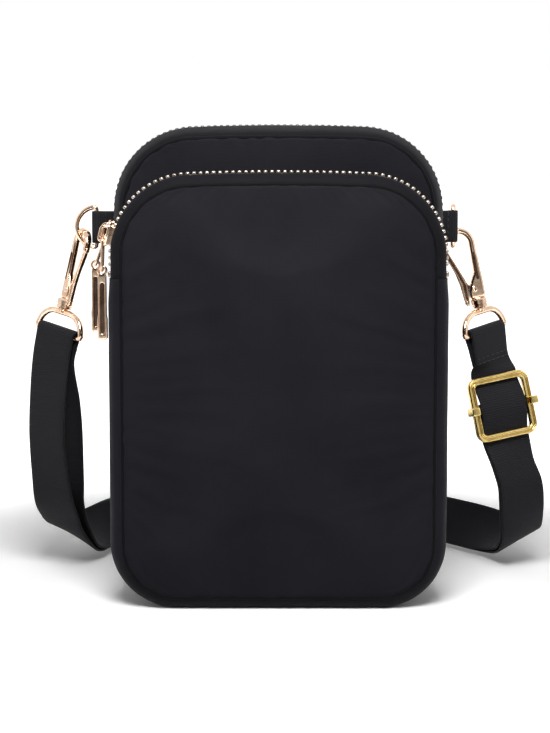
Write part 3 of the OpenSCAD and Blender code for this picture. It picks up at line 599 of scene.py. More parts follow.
def swept(
    name: str,
    path: Sequence[Vector],
    section: Sequence[Point2],
    up: Vector | Sequence[Vector],
    closed: bool = False,
) -> Piece:
    """Sweeps a closed section along a path.

    Args:
        name: The object's name.
        path: Points in metres.
        section: Points (sideways, upwards) in metres.
        up: The upward direction, one for all or one for each point.
        closed: True where the path is a loop.

    Returns:
        The new object.
    """
    rows = []
    for i, (point, ahead) in enumerate(zip(path, headings(path, closed))):
        lift = up if isinstance(up, Vector) else up[i]
        side = ahead.cross(lift).normalized()
        rise = side.cross(ahead)
        rows.append([point + side * a + rise * b for a, b in section])
    around = spans([Vector((a, b, 0.0)) for a, b in section], True)
    return woven_grid(name, rows, around, spans(path, closed), True, not closed, closed)


def wire(name: str, path: Sequence[Vector], radius: float, up: Vector, closed: bool = False,
         sides: int = 20) -> Piece:
    """Sweeps a round wire along a path in one plane, whose normal is up."""
    section = [(radius * math.cos(2 * math.pi * k / sides), radius * math.sin(2 * math.pi * k / sides))
               for k in range(sides)]
    return swept(name, path, section, up, closed)


def turned(name: str, profile: Sequence[Point2], sides: int = 48) -> Piece:
    """Turns a profile of (radius, height) about Z, closed at the axis.

    Args:
        name: The object's name.
        profile: Points from one end on the axis to the other, in metres.
        sides: Steps round the axis.

    Returns:
        The new object.
    """
    rows = [[Vector((r * math.cos(2 * math.pi * k / sides), r * math.sin(2 * math.pi * k / sides), z))
             for k in range(sides)] for r, z in profile]
    steps = [2 * math.pi * k / sides * max(r for r, _ in profile) for k in range(sides + 1)]
    obj = woven_grid(name, rows, steps, spans([Vector((r, z, 0.0)) for r, z in profile]), True, True)
    close_up(obj.data, 1e-6)
    smooth_shade(obj, 42.0)
    return obj


def mm(points: Sequence[Sequence[float]]) -> list[tuple]:
    """Points given in millimetres, in metres."""
    return [tuple(part * MM for part in point) for point in points]


def standing(points: Sequence[Point2]) -> list[Vector]:
    """Points of the XZ plane given in millimetres, as vectors in metres."""
    return [Vector((x, 0, z)) for x, z in mm(points)]


def arc(cx: float, cz: float, r: float, start: float, end: float, steps: int) -> list[Point2]:
    """Points of an arc in a plane, from one angle to another in degrees."""
    return [(cx + r * math.cos(math.radians(start + (end - start) * i / steps)),
             cz + r * math.sin(math.radians(start + (end - start) * i / steps))) for i in range(steps + 1)]


def rounded_box(half_x: float, half_z: float, r: float, steps: int = 10) -> list[Point2]:
    """Outline of a rectangle with round corners, counter-clockwise."""
    points: list[Point2] = []
    for k, (sx, sz) in enumerate(((1, -1), (1, 1), (-1, 1), (-1, -1))):
        points += arc(sx * (half_x - r), sz * (half_z - r), r, -90 + 90 * k, 90 * k, steps)
    return points


def softened(points: Sequence[Point2], r: float, steps: int = 5) -> list[Point2]:
    """Rounds the corners of a polygon.

    Args:
        points: The polygon's corners.
        r: The wanted radius, smaller where a side is short.
        steps: Points along each rounding.

    Returns:
        The rounded outline.
    """
    made: list[Point2] = []
    count = len(points)
    for i in range(count):
        before, here, after = (Vector((*points[(i + k) % count], 0.0)) for k in (-1, 0, 1))
        back, ahead = before - here, after - here
        turn = back.angle(ahead, math.pi)
        if turn > math.radians(168):
            made.append((here.x, here.y))
            continue
        cut = min(r / math.tan(turn / 2), 0.46 * back.length, 0.46 * ahead.length)
        first, last = here + back.normalized() * cut, here + ahead.normalized() * cut
        for k in range(steps + 1):
            t = k / steps
            spot = first * (1 - t) ** 2 + here * 2 * t * (1 - t) + last * t * t
            made.append((spot.x, spot.y))
    return made


def plate(
    name: str,
    outlines: Sequence[Sequence[Point2]],
    thickness: float,
    bevel: float,
    bevel_steps: int = 3,
) -> Piece:
    """Cuts a plate with holes and rounded edges, standing in the XZ plane.

    Args:
        name: The object's name.
        outlines: The outer outline, then the holes, in metres.
        thickness: The plate's thickness along Y.
        bevel: The rounding of its edges.
        bevel_steps: Steps of the rounding.

    Returns:
        The new object.
    """
    curve = bpy.data.curves.new(name, "CURVE")
    curve.dimensions = "2D"
    curve.fill_mode = "BOTH"
    for outline in outlines:
        spline = curve.splines.new("POLY")
        spline.points.add(len(outline) - 1)
        for point, (x, z) in zip(spline.points, outline):
            point.co = (x, z, 0.0, 1.0)
        spline.use_cyclic_u = True
    curve.extrude = max(thickness / 2 - bevel, 0.0)
    curve.bevel_depth = bevel
    curve.bevel_resolution = bevel_steps
    curve.offset = -bevel
    shape = bpy.data.objects.new(name, curve)
    bpy.context.scene.collection.objects.link(shape)
    bpy.context.view_layer.update()
    mesh = bpy.data.meshes.new_from_object(shape.evaluated_get(bpy.context.evaluated_depsgraph_get()))
    bpy.data.objects.remove(shape, do_unlink=True)
    mesh.name = name
    obj = new_mesh_object(name, mesh)
    close_up(mesh, 2e-6)
    obj.data.transform(spin(90, "X"))
    smooth_shade(obj, 40.0)
    return obj


def sunk(obj: Piece) -> Piece:
    """Marks a whole mesh as lying in a groove, so that it takes the plating that paints groove shade, and returns
    it.
    """
    for face in obj.data.polygons:
        face.material_index = 1
    return obj


def grooved(obj: Piece, outline: Sequence[Point2], half: float, depth: float) -> Piece:
    """Cuts the same groove into both faces of a plate that stands in the XZ plane.

    Args:
        obj: The plate.
        outline: The groove's outline in metres.
        half: Half of the plate's thickness.
        depth: The groove's depth.

    Returns:
        The plate, whose groove floors take the second finish, a dark plating that paints their shade.
    """
    for side in (-1, 1):
        tool = moved(plate("tool", [outline], 2 * depth, 0.0), shift(y=side * half))
        cut = obj.modifiers.new("groove", "BOOLEAN")
        cut.operation, cut.solver, cut.object = "DIFFERENCE", "EXACT", tool
        frozen(obj)
        bpy.data.objects.remove(tool, do_unlink=True)
    xs, zs = [x for x, _ in outline], [z for _, z in outline]
    for face in obj.data.polygons:
        x, y, z = face.center
        if min(xs) < x < max(xs) and min(zs) < z < max(zs) and abs(y) < half - 0.7 * depth:
            face.material_index = 1
    return obj


def wobble(place: float, seed: float, size: float) -> float:
    """Smooth repeatable noise along a line, from about -1 to 1."""
    return noise.noise(Vector((place / size, seed * 7.31, seed * 1.7)))


# ------------------------ seam lines


@dataclass(frozen=True)
class Station:
    """A place on a seam: where it is, and which way is outwards."""

    at: float
    x: float
    z: float
    nx: float
    nz: float

    def spot(self, out: float, y: float) -> Vector:
        """A point at a distance outwards and at a depth."""
        return Vector((self.x + self.nx * out, y, self.z + self.nz * out))


@dataclass(frozen=True)
class SeamOutline:
    """A rounded outline with a slight arch along its top edge."""

    half_w: float
    bottom: float
    top: float
    low_r: float
    high_r: float
    crown_r: float = 900 * MM

    @property
    def corner_x(self) -> float:
        """Half the distance between the top corners' centres."""
        return self.half_w - self.high_r

    @property
    def crown_z(self) -> float:
        """Height of the top arch's centre."""
        return self.top - self.crown_r

    @property
    def corner_z(self) -> float:
        """Height of the top corners' centres."""
        return self.crown_z + math.sqrt((self.crown_r - self.high_r) ** 2 - self.corner_x ** 2)

    @property
    def corner_angle(self) -> float:
        """Angle at which the corners meet the arch, in radians."""
        return math.atan2(self.corner_z - self.crown_z, self.corner_x)

    def upper(self, end_z: float, step: float) -> list[Station]:
        """Stations from the right end over the top to the left end.

        Args:
            end_z: Height of both ends.
            step: Distance between stations.

        Returns:
            The stations in order.
        """
        half = self._side(end_z, self.corner_z, step)
        a = self.corner_angle
        half += self._turn(self.corner_x, self.corner_z, self.high_r, 0.0, a, step)
        half += self._turn(0.0, self.crown_z, self.crown_r, a, math.pi / 2, step)
        half.append((0.0, self.top, 0.0, 1.0))
        return self._numbered(half + [(-x, z, -nx, nz) for x, z, nx, nz in reversed(half[:-1])])

    def lower(self, end_z: float, step: float) -> list[Station]:
        """Stations from the left end round the bottom to the right end."""
        low_x, low_z = self.half_w - self.low_r, self.bottom + self.low_r
        count = max(2, round(low_x / step))
        half = [(low_x * i / count, self.bottom, 0.0, -1.0) for i in range(count)]
        half += self._turn(low_x, low_z, self.low_r, -math.pi / 2, 0.0, step)
        half += self._side(low_z, end_z, step)
        half.append((self.half_w, end_z, 1.0, 0.0))
        return self._numbered([(-x, z, -nx, nz) for x, z, nx, nz in reversed(half[1:])] + half)

    def ring(self, step: float) -> list[Station]:
        """Stations all round, counter-clockwise from the left side."""
        middle = (self.bottom + self.low_r + self.corner_z) / 2
        around = self.lower(middle, step)[:-1] + self.upper(middle, step)[:-1]
        return self._numbered([(s.x, s.z, s.nx, s.nz) for s in around])

    def inside(self, x: float, z: float) -> float:
        """Distance from a point inside to the outline."""
        x = abs(x)
        low_x, low_z = self.half_w - self.low_r, self.bottom + self.low_r
        if x > low_x and z < low_z:
            return self.low_r - math.hypot(x - low_x, z - low_z)
        if z > self.corner_z and x > self.corner_x:
            if math.atan2(z - self.crown_z, x) <= self.corner_angle:
                return self.high_r - math.hypot(x - self.corner_x, z - self.corner_z)
        sides = [self.half_w - x, z - self.bottom]
        if z > self.corner_z:
            sides.append(self.crown_r - math.hypot(x, z - self.crown_z))
        return min(sides)

    def _side(self, start: float, end: float, step: float) -> list[tuple]:
        """Places up the right side, without the last."""
        count = max(1, round((end - start) / step))
        return [(self.half_w, start + (end - start) * i / count, 1.0, 0.0) for i in range(count)]

    def _turn(self, cx: float, cz: float, r: float, start: float, end: float, step: float) -> list[tuple]:
        """Places along an arc, without the last."""
        count = max(3, round(r * (end - start) / step))
        turns = [start + (end - start) * i / count for i in range(count)]
        return [(cx + r * math.cos(t), cz + r * math.sin(t), math.cos(t), math.sin(t)) for t in turns]

    @staticmethod
    def _numbered(places: Sequence[tuple]) -> list[Station]:
        """Adds the running distance to each place."""
        made, at = [], 0.0
        for i, place in enumerate(places):
            if i:
                at += math.hypot(place[0] - places[i - 1][0], place[1] - places[i - 1][1])
            made.append(Station(at, *place))
        return made


@dataclass(frozen=True)
class Depths:
    """Places along the pouch's depth, and the sizes of its layers."""

    front: float = -33.5 * MM
    middle: float = -15.5 * MM
    back: float = 15.5 * MM
    front_zip: float = -24.5 * MM
    main_zip: float = 0.0
    zip_end: float = 130.3 * MM
    bulge: float = 4.8 * MM
    lower_bulge: float = 5.4 * MM
    cloth: float = 1.4 * MM
    slot: float = 4.5 * MM


FRONT = SeamOutline(60.8 * MM, 5 * MM, 166.8 * MM, 21 * MM, 27 * MM)
MAIN = SeamOutline(60.8 * MM, 5 * MM, 184.6 * MM, 21 * MM, 28 * MM)
DEPTHS = Depths()


def arch(y: float, y0: float, y1: float, height: float) -> float:
    """Height of a gusset's arch above its seams at a depth."""
    span = (y1 - y0) / 2
    r = (span * span + height * height) / (2 * height)
    return height - r + math.sqrt(max(r * r - (y - (y0 + y1) / 2) ** 2, 0.0))


def lifted(points: Ring) -> Ring:
    """Keeps points just above the floor."""
    for point in points:
        point.z = max(point.z, 0.02 * MM)
    return points


def frozen(obj: Piece) -> Piece:
    """Turns an object with modifiers into a plain mesh of the same name.

    Args:
        obj: The object, whose modifiers are applied.

    Returns:
        The object with its plain mesh.
    """
    bpy.context.view_layer.update()
    made = bpy.data.meshes.new_from_object(obj.evaluated_get(bpy.context.evaluated_depsgraph_get()))
    made.name = obj.name
    obj.modifiers.clear()
    obj.data = made
    return obj


# ------------------------ repeats


@dataclass
class Repeater:
    """Sets copies of a small item along a line with Geometry Nodes."""

    name: str
    item: Piece
    pitch: float
    material: Material
    jitter: float = 0.0
    seed: int = 3

    def _tree(self) -> bpy.types.GeometryNodeTree:
        """Builds the node tree with its named inputs.

        Returns:
            The tree.
        """
        tree = bpy.data.node_groups.new(self.name + "_repeat", "GeometryNodeTree")
        for name, way, kind in (("Geometry", "INPUT", "Geometry"), ("Pitch", "INPUT", "Float"),
                                ("Jitter", "INPUT", "Float"), ("Geometry", "OUTPUT", "Geometry")):
            tree.interface.new_socket(name, in_out=way, socket_type=f"NodeSocket{kind}")
        book = NodeBook(tree)
        start = book.add("NodeGroupInput")
        line = book.add("GeometryNodeMeshToCurve", Mesh=start.outputs["Geometry"])
        even = book.add("GeometryNodeResampleCurve", mode="LENGTH", Curve=line.outputs["Curve"],
                        Length=start.outputs["Pitch"])
        out = book.add("GeometryNodeInputNamedAttribute", data_type="FLOAT_VECTOR", Name="outward")
        ahead = book.add("GeometryNodeInputTangent")
        turn = book.add("FunctionNodeAxesToRotation", primary_axis="Z", secondary_axis="X",
                        Primary_Axis=out.outputs["Attribute"], Secondary_Axis=ahead.outputs["Tangent"])
        chance = book.add("FunctionNodeRandomValue", data_type="FLOAT", Seed=self.seed)
        for place, operation in ((2, "SUBTRACT"), (3, "ADD")):
            book.feed(chance.inputs[place], book.maths(operation, 1.0, start.outputs["Jitter"]))
        source = book.add("GeometryNodeObjectInfo", Object=self.item)
        copies = book.add("GeometryNodeInstanceOnPoints", Points=even.outputs["Curve"],
                          Instance=source.outputs["Geometry"], Rotation=turn.outputs["Rotation"],
                          Scale=chance.outputs[1])
        solid = book.add("GeometryNodeRealizeInstances", Geometry=copies.outputs["Instances"])
        paint = book.add("GeometryNodeSetMaterial", Geometry=solid.outputs["Geometry"],
                         Material=self.material)
        book.add("NodeGroupOutput", Geometry=paint.outputs["Geometry"])
        return tree

    def along(self, lines: Sequence[tuple[Ring, Ring]]) -> Piece:
        """Sets the item along lines and realises the copies.

        Args:
            lines: Pairs of points and of outward directions, in metres.

        Returns:
            A plain mesh object with every copy in it.
        """
        points, edges, outs = [], [], []
        for spots, outward in lines:
            base = len(points)
            points += [tuple(spot) for spot in spots]
            outs += [part for way in outward for part in way]
            edges += [(base + i, base + i + 1) for i in range(len(spots) - 1)]
        mesh = bpy.data.meshes.new(self.name)
        mesh.from_pydata(points, edges, [])
        mesh.attributes.new("outward", "FLOAT_VECTOR", "POINT").data.foreach_set("vector", outs)
        obj = new_mesh_object(self.name, mesh)
        modifier = obj.modifiers.new("repeat", "NODES")
        modifier.node_group = self._tree()
        faces = modifier.node_group.interface.items_tree
        keys = {face.name: face.identifier for face in faces if face.in_out == "INPUT"}
        modifier[keys["Pitch"]] = self.pitch
        modifier[keys["Jitter"]] = self.jitter
        frozen(obj)
        bpy.data.objects.remove(self.item, do_unlink=True)
        if "outward" in obj.data.attributes:
            obj.data.attributes.remove(obj.data.attributes["outward"])
        smooth_shade(obj, 40.0)
        return obj


def stitch_item(length: float, thick: float) -> Piece:
    """One stitch lying along X: a thread that dips at both ends."""
    path = [Vector((length * (t - 0.5), 0.0, thick * 0.9 * math.sin(math.pi * t) - thick * 0.35))
            for t in (0.0, 0.15, 0.5, 0.85, 1.0)]
    return wire("stitch", path, thick / 2, Vector((0.0, 1.0, 0.0)), sides=6)


# ------------------------ pouch cloth


@dataclass
class ClothPanel:
    """One padded panel of the pouch, gathered into its seam."""

    name: str
    outline: SeamOutline
    depth: float
    facing: int
    crown: float
    thickness: float
    seed: float
    gather: float = 0.34 * MM
    shoulder: float = 1.7 * MM
    drop: float = 1.1 * MM
    step: float = 1.35 * MM
    press: float = 3.0
    growth: float = 0.004
    cap: float = 2.2 * MM
    columns: int = 92
    low_steps: int = 18
    high_steps: int = 20
    frames: int = 20

    def build(self, simulate: bool) -> Piece:
        """Builds the panel and lets its cloth settle.

        Args:
            simulate: True to run the cloth simulation.

        Returns:
            The panel as a closed padded mesh.
        """
        obj = self._sheet()
        if simulate:
            self._settle(obj)
        self._sew(obj)
        thick = obj.modifiers.new("padding", "SOLIDIFY")
        thick.thickness = self.thickness
        thick.offset = -1.0
        thick.use_even_offset = True
        return frozen(obj)

    def _rows(self) -> list[tuple[float, float]]:
        """Heights of the rows and their half widths."""
        o = self.outline
        low_x, low_z = o.half_w - o.low_r, o.bottom + o.low_r
        rows = []
        for i in range(self.low_steps):
            turn = math.pi / 2 * i / self.low_steps
            rows.append((low_z - o.low_r * math.cos(turn), low_x + o.low_r * math.sin(turn)))
        count = round((o.corner_z - low_z) / self.step)
        rows += [(low_z + (o.corner_z - low_z) * i / count, o.half_w) for i in range(count)]
        for i in range(self.high_steps + 1):
            turn = o.corner_angle * i / self.high_steps
            rows.append((o.corner_z + o.high_r * math.sin(turn), o.corner_x + o.high_r * math.cos(turn)))
        return rows

    def _sheet(self) -> Piece:
        """Lays the panel out as one sheet of quads, swelling a little."""
        o = self.outline
        rows = self._rows()
        middle, top = (o.bottom + o.top) / 2, rows[-1][0]
        grid, along = [], []
        for z, half in rows:
            share = max(0.0, (z - middle) / (top - middle)) ** 2
            row = []
            for c in range(self.columns + 1):
                t = 2 * c / self.columns - 1
                x = half * (0.72 * t + 0.28 * math.sin(math.pi / 2 * t))
                lift = (o.crown_z + math.sqrt(o.crown_r ** 2 - x * x) - top) * share
                height = z + max(lift, 0.0)
                rim = min(z - o.bottom, top - z)
                row.append(Vector((x, self._face(abs(x) / half, rim), height)))
            grid.append(row)
            along.append(z)
        across = [2 * o.half_w * c / self.columns for c in range(self.columns + 1)]
        obj = woven_grid(self.name, grid, across, along)
        if self.facing > 0:
            obj.data.flip_normals()
        return obj

    def _face(self, side: float, rim: float) -> float:
        """Depth of the panel's face before it is sewn.

        Args:
            side: Distance from the middle line as a share of the row's half width.
            rim: Distance from the top or the bottom edge.

        Returns:
            The depth in metres.
        """
        level = max(0.0, 1 - rim / (0.9 * self.outline.half_w))
        return self.depth + self.facing * self.crown * (1 - min(side, 1.0) ** 2.6) * (1 - level ** 2.6)

    def _settle(self, obj: Piece) -> None:
        """Runs a short cloth simulation under padding pressure, with its seam pinned."""
        mesh = obj.data
        rest = [point.co.copy() for point in mesh.vertices]
        held = obj.vertex_groups.new(name="seam")
        for point in mesh.vertices:
            gap = self.outline.inside(point.co.x, point.co.z)
            held.add([point.index], max(0.0, 1.0 - max(0.0, gap - 0.6 * MM) / (1.4 * MM)), "REPLACE")
        cloth = obj.modifiers.new("cloth", "CLOTH")
        rules = cloth.settings
        rules.quality = 5
        rules.mass = 0.2
        rules.tension_stiffness = rules.compression_stiffness = 18.0
        rules.shear_stiffness = 8.0
        rules.bending_stiffness = 0.6
        rules.air_damping = 2.0
        rules.shrink_min = -self.growth
        rules.use_pressure = True
        rules.uniform_pressure_force = self.press
        rules.vertex_group_mass = held.name
        rules.effector_weights.gravity = 0.0
        cloth.collision_settings.use_collision = False
        cloth.point_cache.frame_start, cloth.point_cache.frame_end = 1, self.frames
        scene = bpy.context.scene
        for moment in range(1, self.frames + 1):
            scene.frame_set(moment)
        shape = obj.evaluated_get(bpy.context.evaluated_depsgraph_get()).to_mesh()
        moves = [after.co - before for after, before in zip(shape.vertices, rest)]
        obj.modifiers.clear()
        obj.vertex_groups.clear()
        far = max(move.length for move in moves)
        log.info("%s settled, up to %.2f mm", self.name, far / MM)
        for point, before, move in zip(mesh.vertices, rest, moves):
            if move.length > self.cap:
                move = move * (self.cap / move.length)
            point.co = before + move
        scene.frame_set(1)

    def _sew(self, obj: Piece) -> None:
        """Rolls the edge into the seam and gathers the cloth along it."""
        tree = Seam(self.outline, self.seed)
        inward = -self.facing
        for point in obj.data.vertices:
            gap = max(0.0, self.outline.inside(point.co.x, point.co.z))
            if gap > 30 * MM:
                continue
            at, out = tree.near(point.co.x, point.co.z)
            if gap < self.shoulder:
                share = 1 - gap / self.shoulder
                point.co.y += inward * self.drop * (1 - math.sqrt(1 - share * share * 0.98))
            fold = tree.gather(at)
            reach = (gap + 0.5 * MM) / (1.5 * MM) * math.exp(1 - (gap + 0.5 * MM) / (1.5 * MM))
            point.co.y += inward * self.gather * fold * reach
            broad = tree.sag(at) * math.exp(-((gap - 9 * MM) / (8 * MM)) ** 2)
            point.co.y += inward * 0.35 * MM * broad
            slide = 0.3 * MM * fold * math.exp(-gap / (1.6 * MM))
            point.co.x -= out[0] * slide
            point.co.z -= out[1] * slide


class Seam:
    """Reads the gathers along one seam, so that its neighbours share them."""

    def __init__(self, outline: SeamOutline, seed: float) -> None:
        """Places the seam's stations in a search tree.

        Args:
            outline: The seam's outline.
            seed: Number that sets its gathers.
        """
        self.seed = seed
        self.ring = outline.ring(1.0 * MM)
        self.length = self.ring[-1].at
        self.tree = KDTree(len(self.ring))
        for i, station in enumerate(self.ring):
            self.tree.insert((station.x, station.z, 0.0), i)
        self.tree.balance()

    def near(self, x: float, z: float) -> tuple[float, Point2]:
        """Distance along the seam and outward direction next to a point."""
        station = self.ring[self.tree.find((x, z, 0.0))[1]]
        ahead = (x - station.x) * -station.nz + (z - station.z) * station.nx
        return station.at + ahead, (station.nx, station.nz)

    def gather(self, at: float) -> float:
        """Short irregular gathers, deeper here and there, from about -1 to 1."""
        strength = 0.25 + 0.75 * max(0.0, wobble(at, self.seed, 23 * MM) + 0.3)
        ripple = math.sin(2 * math.pi * at / (8.6 * MM) + 4.6 * wobble(at, self.seed + 2, 21 * MM))
        return strength * (0.45 * ripple + 0.85 * wobble(at, self.seed + 5, 5.2 * MM))

    def sag(self, at: float) -> float:
        """Broad hollows between gathers, from about -1 to 1."""
        return wobble(at, self.seed + 9, 24 * MM)


@dataclass(frozen=True)
class Room:
    """One compartment: its outline, the depths of its seams and its zip, and its seams' gathers."""

    name: str
    outline: SeamOutline
    y0: float
    y1: float
    zip_y: float
    seams: tuple[Seam, Seam]


@dataclass
class PouchCloth:
    """The pouch's panels, gussets, zip strips, tapes, back binding, and the dark cords that paint the front and
    middle seams' shade lines.
    """

    finishes: Finishes
    front_seed: float = 1.0
    middle_seed: float = 4.0
    back_seed: float = 6.0
    step: float = 1.4 * MM
    front_crown: float = 3.4 * MM
    back_crown: float = 1.4 * MM
    tuck: float = 0.85 * MM
    apart: float = 0.1 * MM

    def build(self) -> None:
        """Builds and dresses every cloth piece of the pouch."""
        self.front_seam = Seam(FRONT, self.front_seed)
        self.middle_seam = Seam(MAIN, self.middle_seed)
        self.back_seam = Seam(MAIN, self.back_seed)
        d = DEPTHS
        self.rooms = (
            Room("front", FRONT, d.front, d.middle - self.apart, d.front_zip,
                 (self.front_seam, self.middle_seam)),
            Room("main", MAIN, d.middle + self.apart, d.back, d.main_zip,
                 (self.middle_seam, self.back_seam)))
        self._panels()
        self._gussets()
        self._strips()
        self._tapes()
        self._bindings()

    def _panels(self) -> None:
        """Builds the three padded panels."""
        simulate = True
        d = DEPTHS
        front = ClothPanel("front_panel", FRONT, d.front, -1, self.front_crown, 2.6 * MM, self.front_seed)
        middle = ClothPanel("middle_panel", MAIN, d.middle + self.apart, -1, 0.0, 3.0 * MM,
                            self.middle_seed, shoulder=1.2 * MM, drop=0.7 * MM, press=0.0, growth=0.0)
        back = ClothPanel("back_panel", MAIN, d.back, 1, self.back_crown, 2.6 * MM, self.back_seed,
                          press=2.0, growth=0.004)
        for panel, live in ((front, simulate), (middle, False), (back, simulate)):
            obj = panel.build(live)
            side = panel.name.removesuffix("_panel")
            dress(obj, self.finishes.nylon, Body.POUCH,
                  [f"{side}_panel_skin", f"{side}_panel_padding", f"{side}_panel_lining"])

    def _cloth_run(
        self,
        name: str,
        room: Room,
        stations: Sequence[Station],
        height: float,
        cut: tuple[float, float],
        seams: tuple[Optional[Seam], Optional[Seam]],
    ) -> Piece:
        """Sweeps one gathered cloth strip round the pouch.

        Args:
            name: The piece's name.
            room: The compartment it closes.
            stations: Places along the seam.
            height: How far the gusset stands out.
            cut: The depths between which this strip lies.
            seams: The gathers at the front and at the back edge, None for a hem.

        Returns:
            The strip as a closed mesh.
        """
        thick, count, wide = DEPTHS.cloth, 22, cut[1] - cut[0]
        places = [cut[0] + wide * (0.5 - 0.5 * math.cos(math.pi * k / count)) * 0.5 + wide * 0.5 * k / count
                  for k in range(count + 1)]
        rows, brow = [], max(s.z for s in (stations[0], stations[-1]))
        for station in stations:
            near = [seam.near(station.x, station.z)[0] if seam else 0.0 for seam in seams]
            outer = []
            below = min(1.0, max(0.0, brow - station.z) / (11 * MM))
            tall = DEPTHS.bulge + (height - DEPTHS.bulge) * below * below * (3 - 2 * below)
            for y in places:
                out = arch(y, room.y0, room.y1, tall)
                for k, (seam, edge) in enumerate(zip(seams, cut)):
                    gap = abs(y - edge)
                    if seam is None:
                        out += 0.1 * MM * math.exp(-((gap - 1.1 * MM) / (0.9 * MM)) ** 2)
                        out += 0.14 * MM * math.exp(-gap / (2 * MM)) * wobble(
                            station.at, 11 + room.y0 * 90 + k, 9 * MM)
                        continue
                    fold = seam.gather(near[k])
                    out += 0.9 * MM * (1 - math.exp(-gap / (1.1 * MM))) * math.exp(-gap / (3.2 * MM))
                    out -= 0.8 * MM * math.exp(-gap / (0.9 * MM))
                    out -= 0.4 * MM * fold * math.exp(-gap / (3.6 * MM))
                    out += 0.22 * MM * seam.sag(near[k]) * math.exp(-gap / (8 * MM))
                outer.append((out, y))
            inner = [(out - thick, y) for out, y in reversed(outer)]
            rows.append(lifted([station.spot(out, y) for out, y in outer + inner]))
        return woven_grid(name, rows, spans(rows[0], True), [s.at for s in stations], True, True)

    def _gussets(self) -> None:
        """Builds the lower gussets of both compartments."""
        for room in self.rooms:
            run = room.outline.lower(DEPTHS.zip_end - 0.02 * MM, self.step)
            obj = self._cloth_run(f"{room.name}_gusset", room, run, DEPTHS.lower_bulge,
                                  (room.y0 + self.tuck, room.y1), room.seams)
            dress(obj, self.finishes.nylon, Body.POUCH, [f"{room.name}_gusset_lower"])

    def _strips(self) -> None:
        """Builds the strips on both sides of each zip."""
        slot = DEPTHS.slot
        for room in self.rooms:
            run = room.outline.upper(DEPTHS.zip_end, self.step)
            for part, cut, ends in (
                ("fore", (room.y0 + self.tuck, room.zip_y - slot), (room.seams[0], None)),
                ("aft", (room.zip_y + slot, room.y1), (None, room.seams[1])),
            ):
                obj = self._cloth_run(f"{room.name}_strip_{part}", room, run, DEPTHS.bulge, cut, ends)
                # The strips take the darker nylon copy, painted shade for their upward faces.
                dress(obj, self.finishes.strip, Body.POUCH, [f"{room.name}_zip_strip_{part}"])

    def _tapes(self) -> None:
        """Builds the woven tapes under the strips."""
        d = DEPTHS
        drop, thick, under, gap = 1.5 * MM, 0.5 * MM, 3 * MM, 0.35 * MM
        for side, outline, y0, y1, zip_y in (
            ("front", FRONT, d.front, d.middle, d.front_zip),
            ("main", MAIN, d.middle, d.back, d.main_zip),
        ):
            run = outline.upper(d.zip_end + 0.1 * MM, self.step)
            for part, cut in (("fore", (zip_y - d.slot - under, zip_y - gap)),
                              ("aft", (zip_y + gap, zip_y + d.slot + under))):
                places = [cut[0] + (cut[1] - cut[0]) * k / 12 for k in range(13)]
                top = [(arch(y, y0, y1, d.bulge) - drop, y) for y in places]
                ring = top + [(out - thick, y) for out, y in reversed(top)]
                rows = [[s.spot(out, y) for out, y in ring] for s in run]
                name = f"{side}_zip_tape_{part}"
                obj = woven_grid(f"{side}_tape_{part}", rows, spans(rows[0], True),
                                 [s.at for s in run], True, True)
                dress(obj, self.finishes.tape, Body.POUCH, [name])

    def _bindings(self) -> None:
        """Builds the back seam's binding with its stitches, and the dark cords in the front and middle seams that
        paint their shade lines.
        """
        d = DEPTHS
        # The front and middle cords are painted shade lines in their seams; the back one is a real binding.
        plans = (
            ("front_seam_welt", FRONT, self.front_seam, -0.1 * MM, d.front + 0.75 * MM, (0.8, 0.6),
             "front_seam_binding"),
            ("middle_seam_welt", MAIN, self.middle_seam, -0.1 * MM, d.middle + 0.8 * MM, (0.8, 0.6),
             "middle_seam_binding"),
            ("back_seam_welt", MAIN, self.back_seam, 0.1 * MM, d.back + 0.3 * MM, (1.3, 1.3),
             "back_seam_binding"),
        )
        for name, outline, seam, out, y, (wide, deep), node in plans:
            ring = outline.ring(self.step)[:-1]
            rows = []
            for station in ring:
                fold = seam.gather(seam.near(station.x, station.z)[0])
                swell = 1 + 0.3 * fold
                rows.append(lifted([station.spot(
                    out - 0.2 * MM * fold + wide * MM * swell * math.cos(2 * math.pi * k / 12),
                    y + deep * MM * swell * math.sin(2 * math.pi * k / 12)) for k in range(12)]))
            along = [s.at for s in ring] + [seam.length]
            obj = woven_grid(name, rows, spans(rows[0], True), along, True, False, True)
            dress(obj, self.finishes.binding, Body.POUCH, [node])
        ring = MAIN.ring(self.step)
        line = [s.spot(-0.05 * MM, d.back + 1.6 * MM) for s in ring]
        stitches = Repeater("back_seam_stitches", stitch_item(2.3 * MM, 0.42 * MM), 3.1 * MM,
                            self.finishes.thread, 0.06).along([(line, [Vector((0, 1, 0))] * len(line))])
        dress(stitches, self.finishes.thread, Body.POUCH)


# ------------------------ zips


def box_item(name: str, low: Sequence[float], high: Sequence[float], bevel: float, steps: int) -> Piece:
    """A small block with rounded edges.

    Args:
        name: The object's name.
        low: Its lowest corner in metres.
        high: Its highest corner.
        bevel: The rounding of its edges.
        steps: Steps of the rounding.

    Returns:
        The block.
    """
    work = bmesh.new()
    bmesh.ops.create_cube(work, size=1.0)
    for point in work.verts:
        point.co = Vector([low[k] if point.co[k] < 0 else high[k] for k in range(3)])
    bmesh.ops.bevel(work, geom=work.edges[:], offset=bevel, segments=steps, profile=0.6, affect="EDGES")
    mesh = bpy.data.meshes.new(name)
    work.to_mesh(mesh)
    work.free()
    return new_mesh_object(name, mesh)


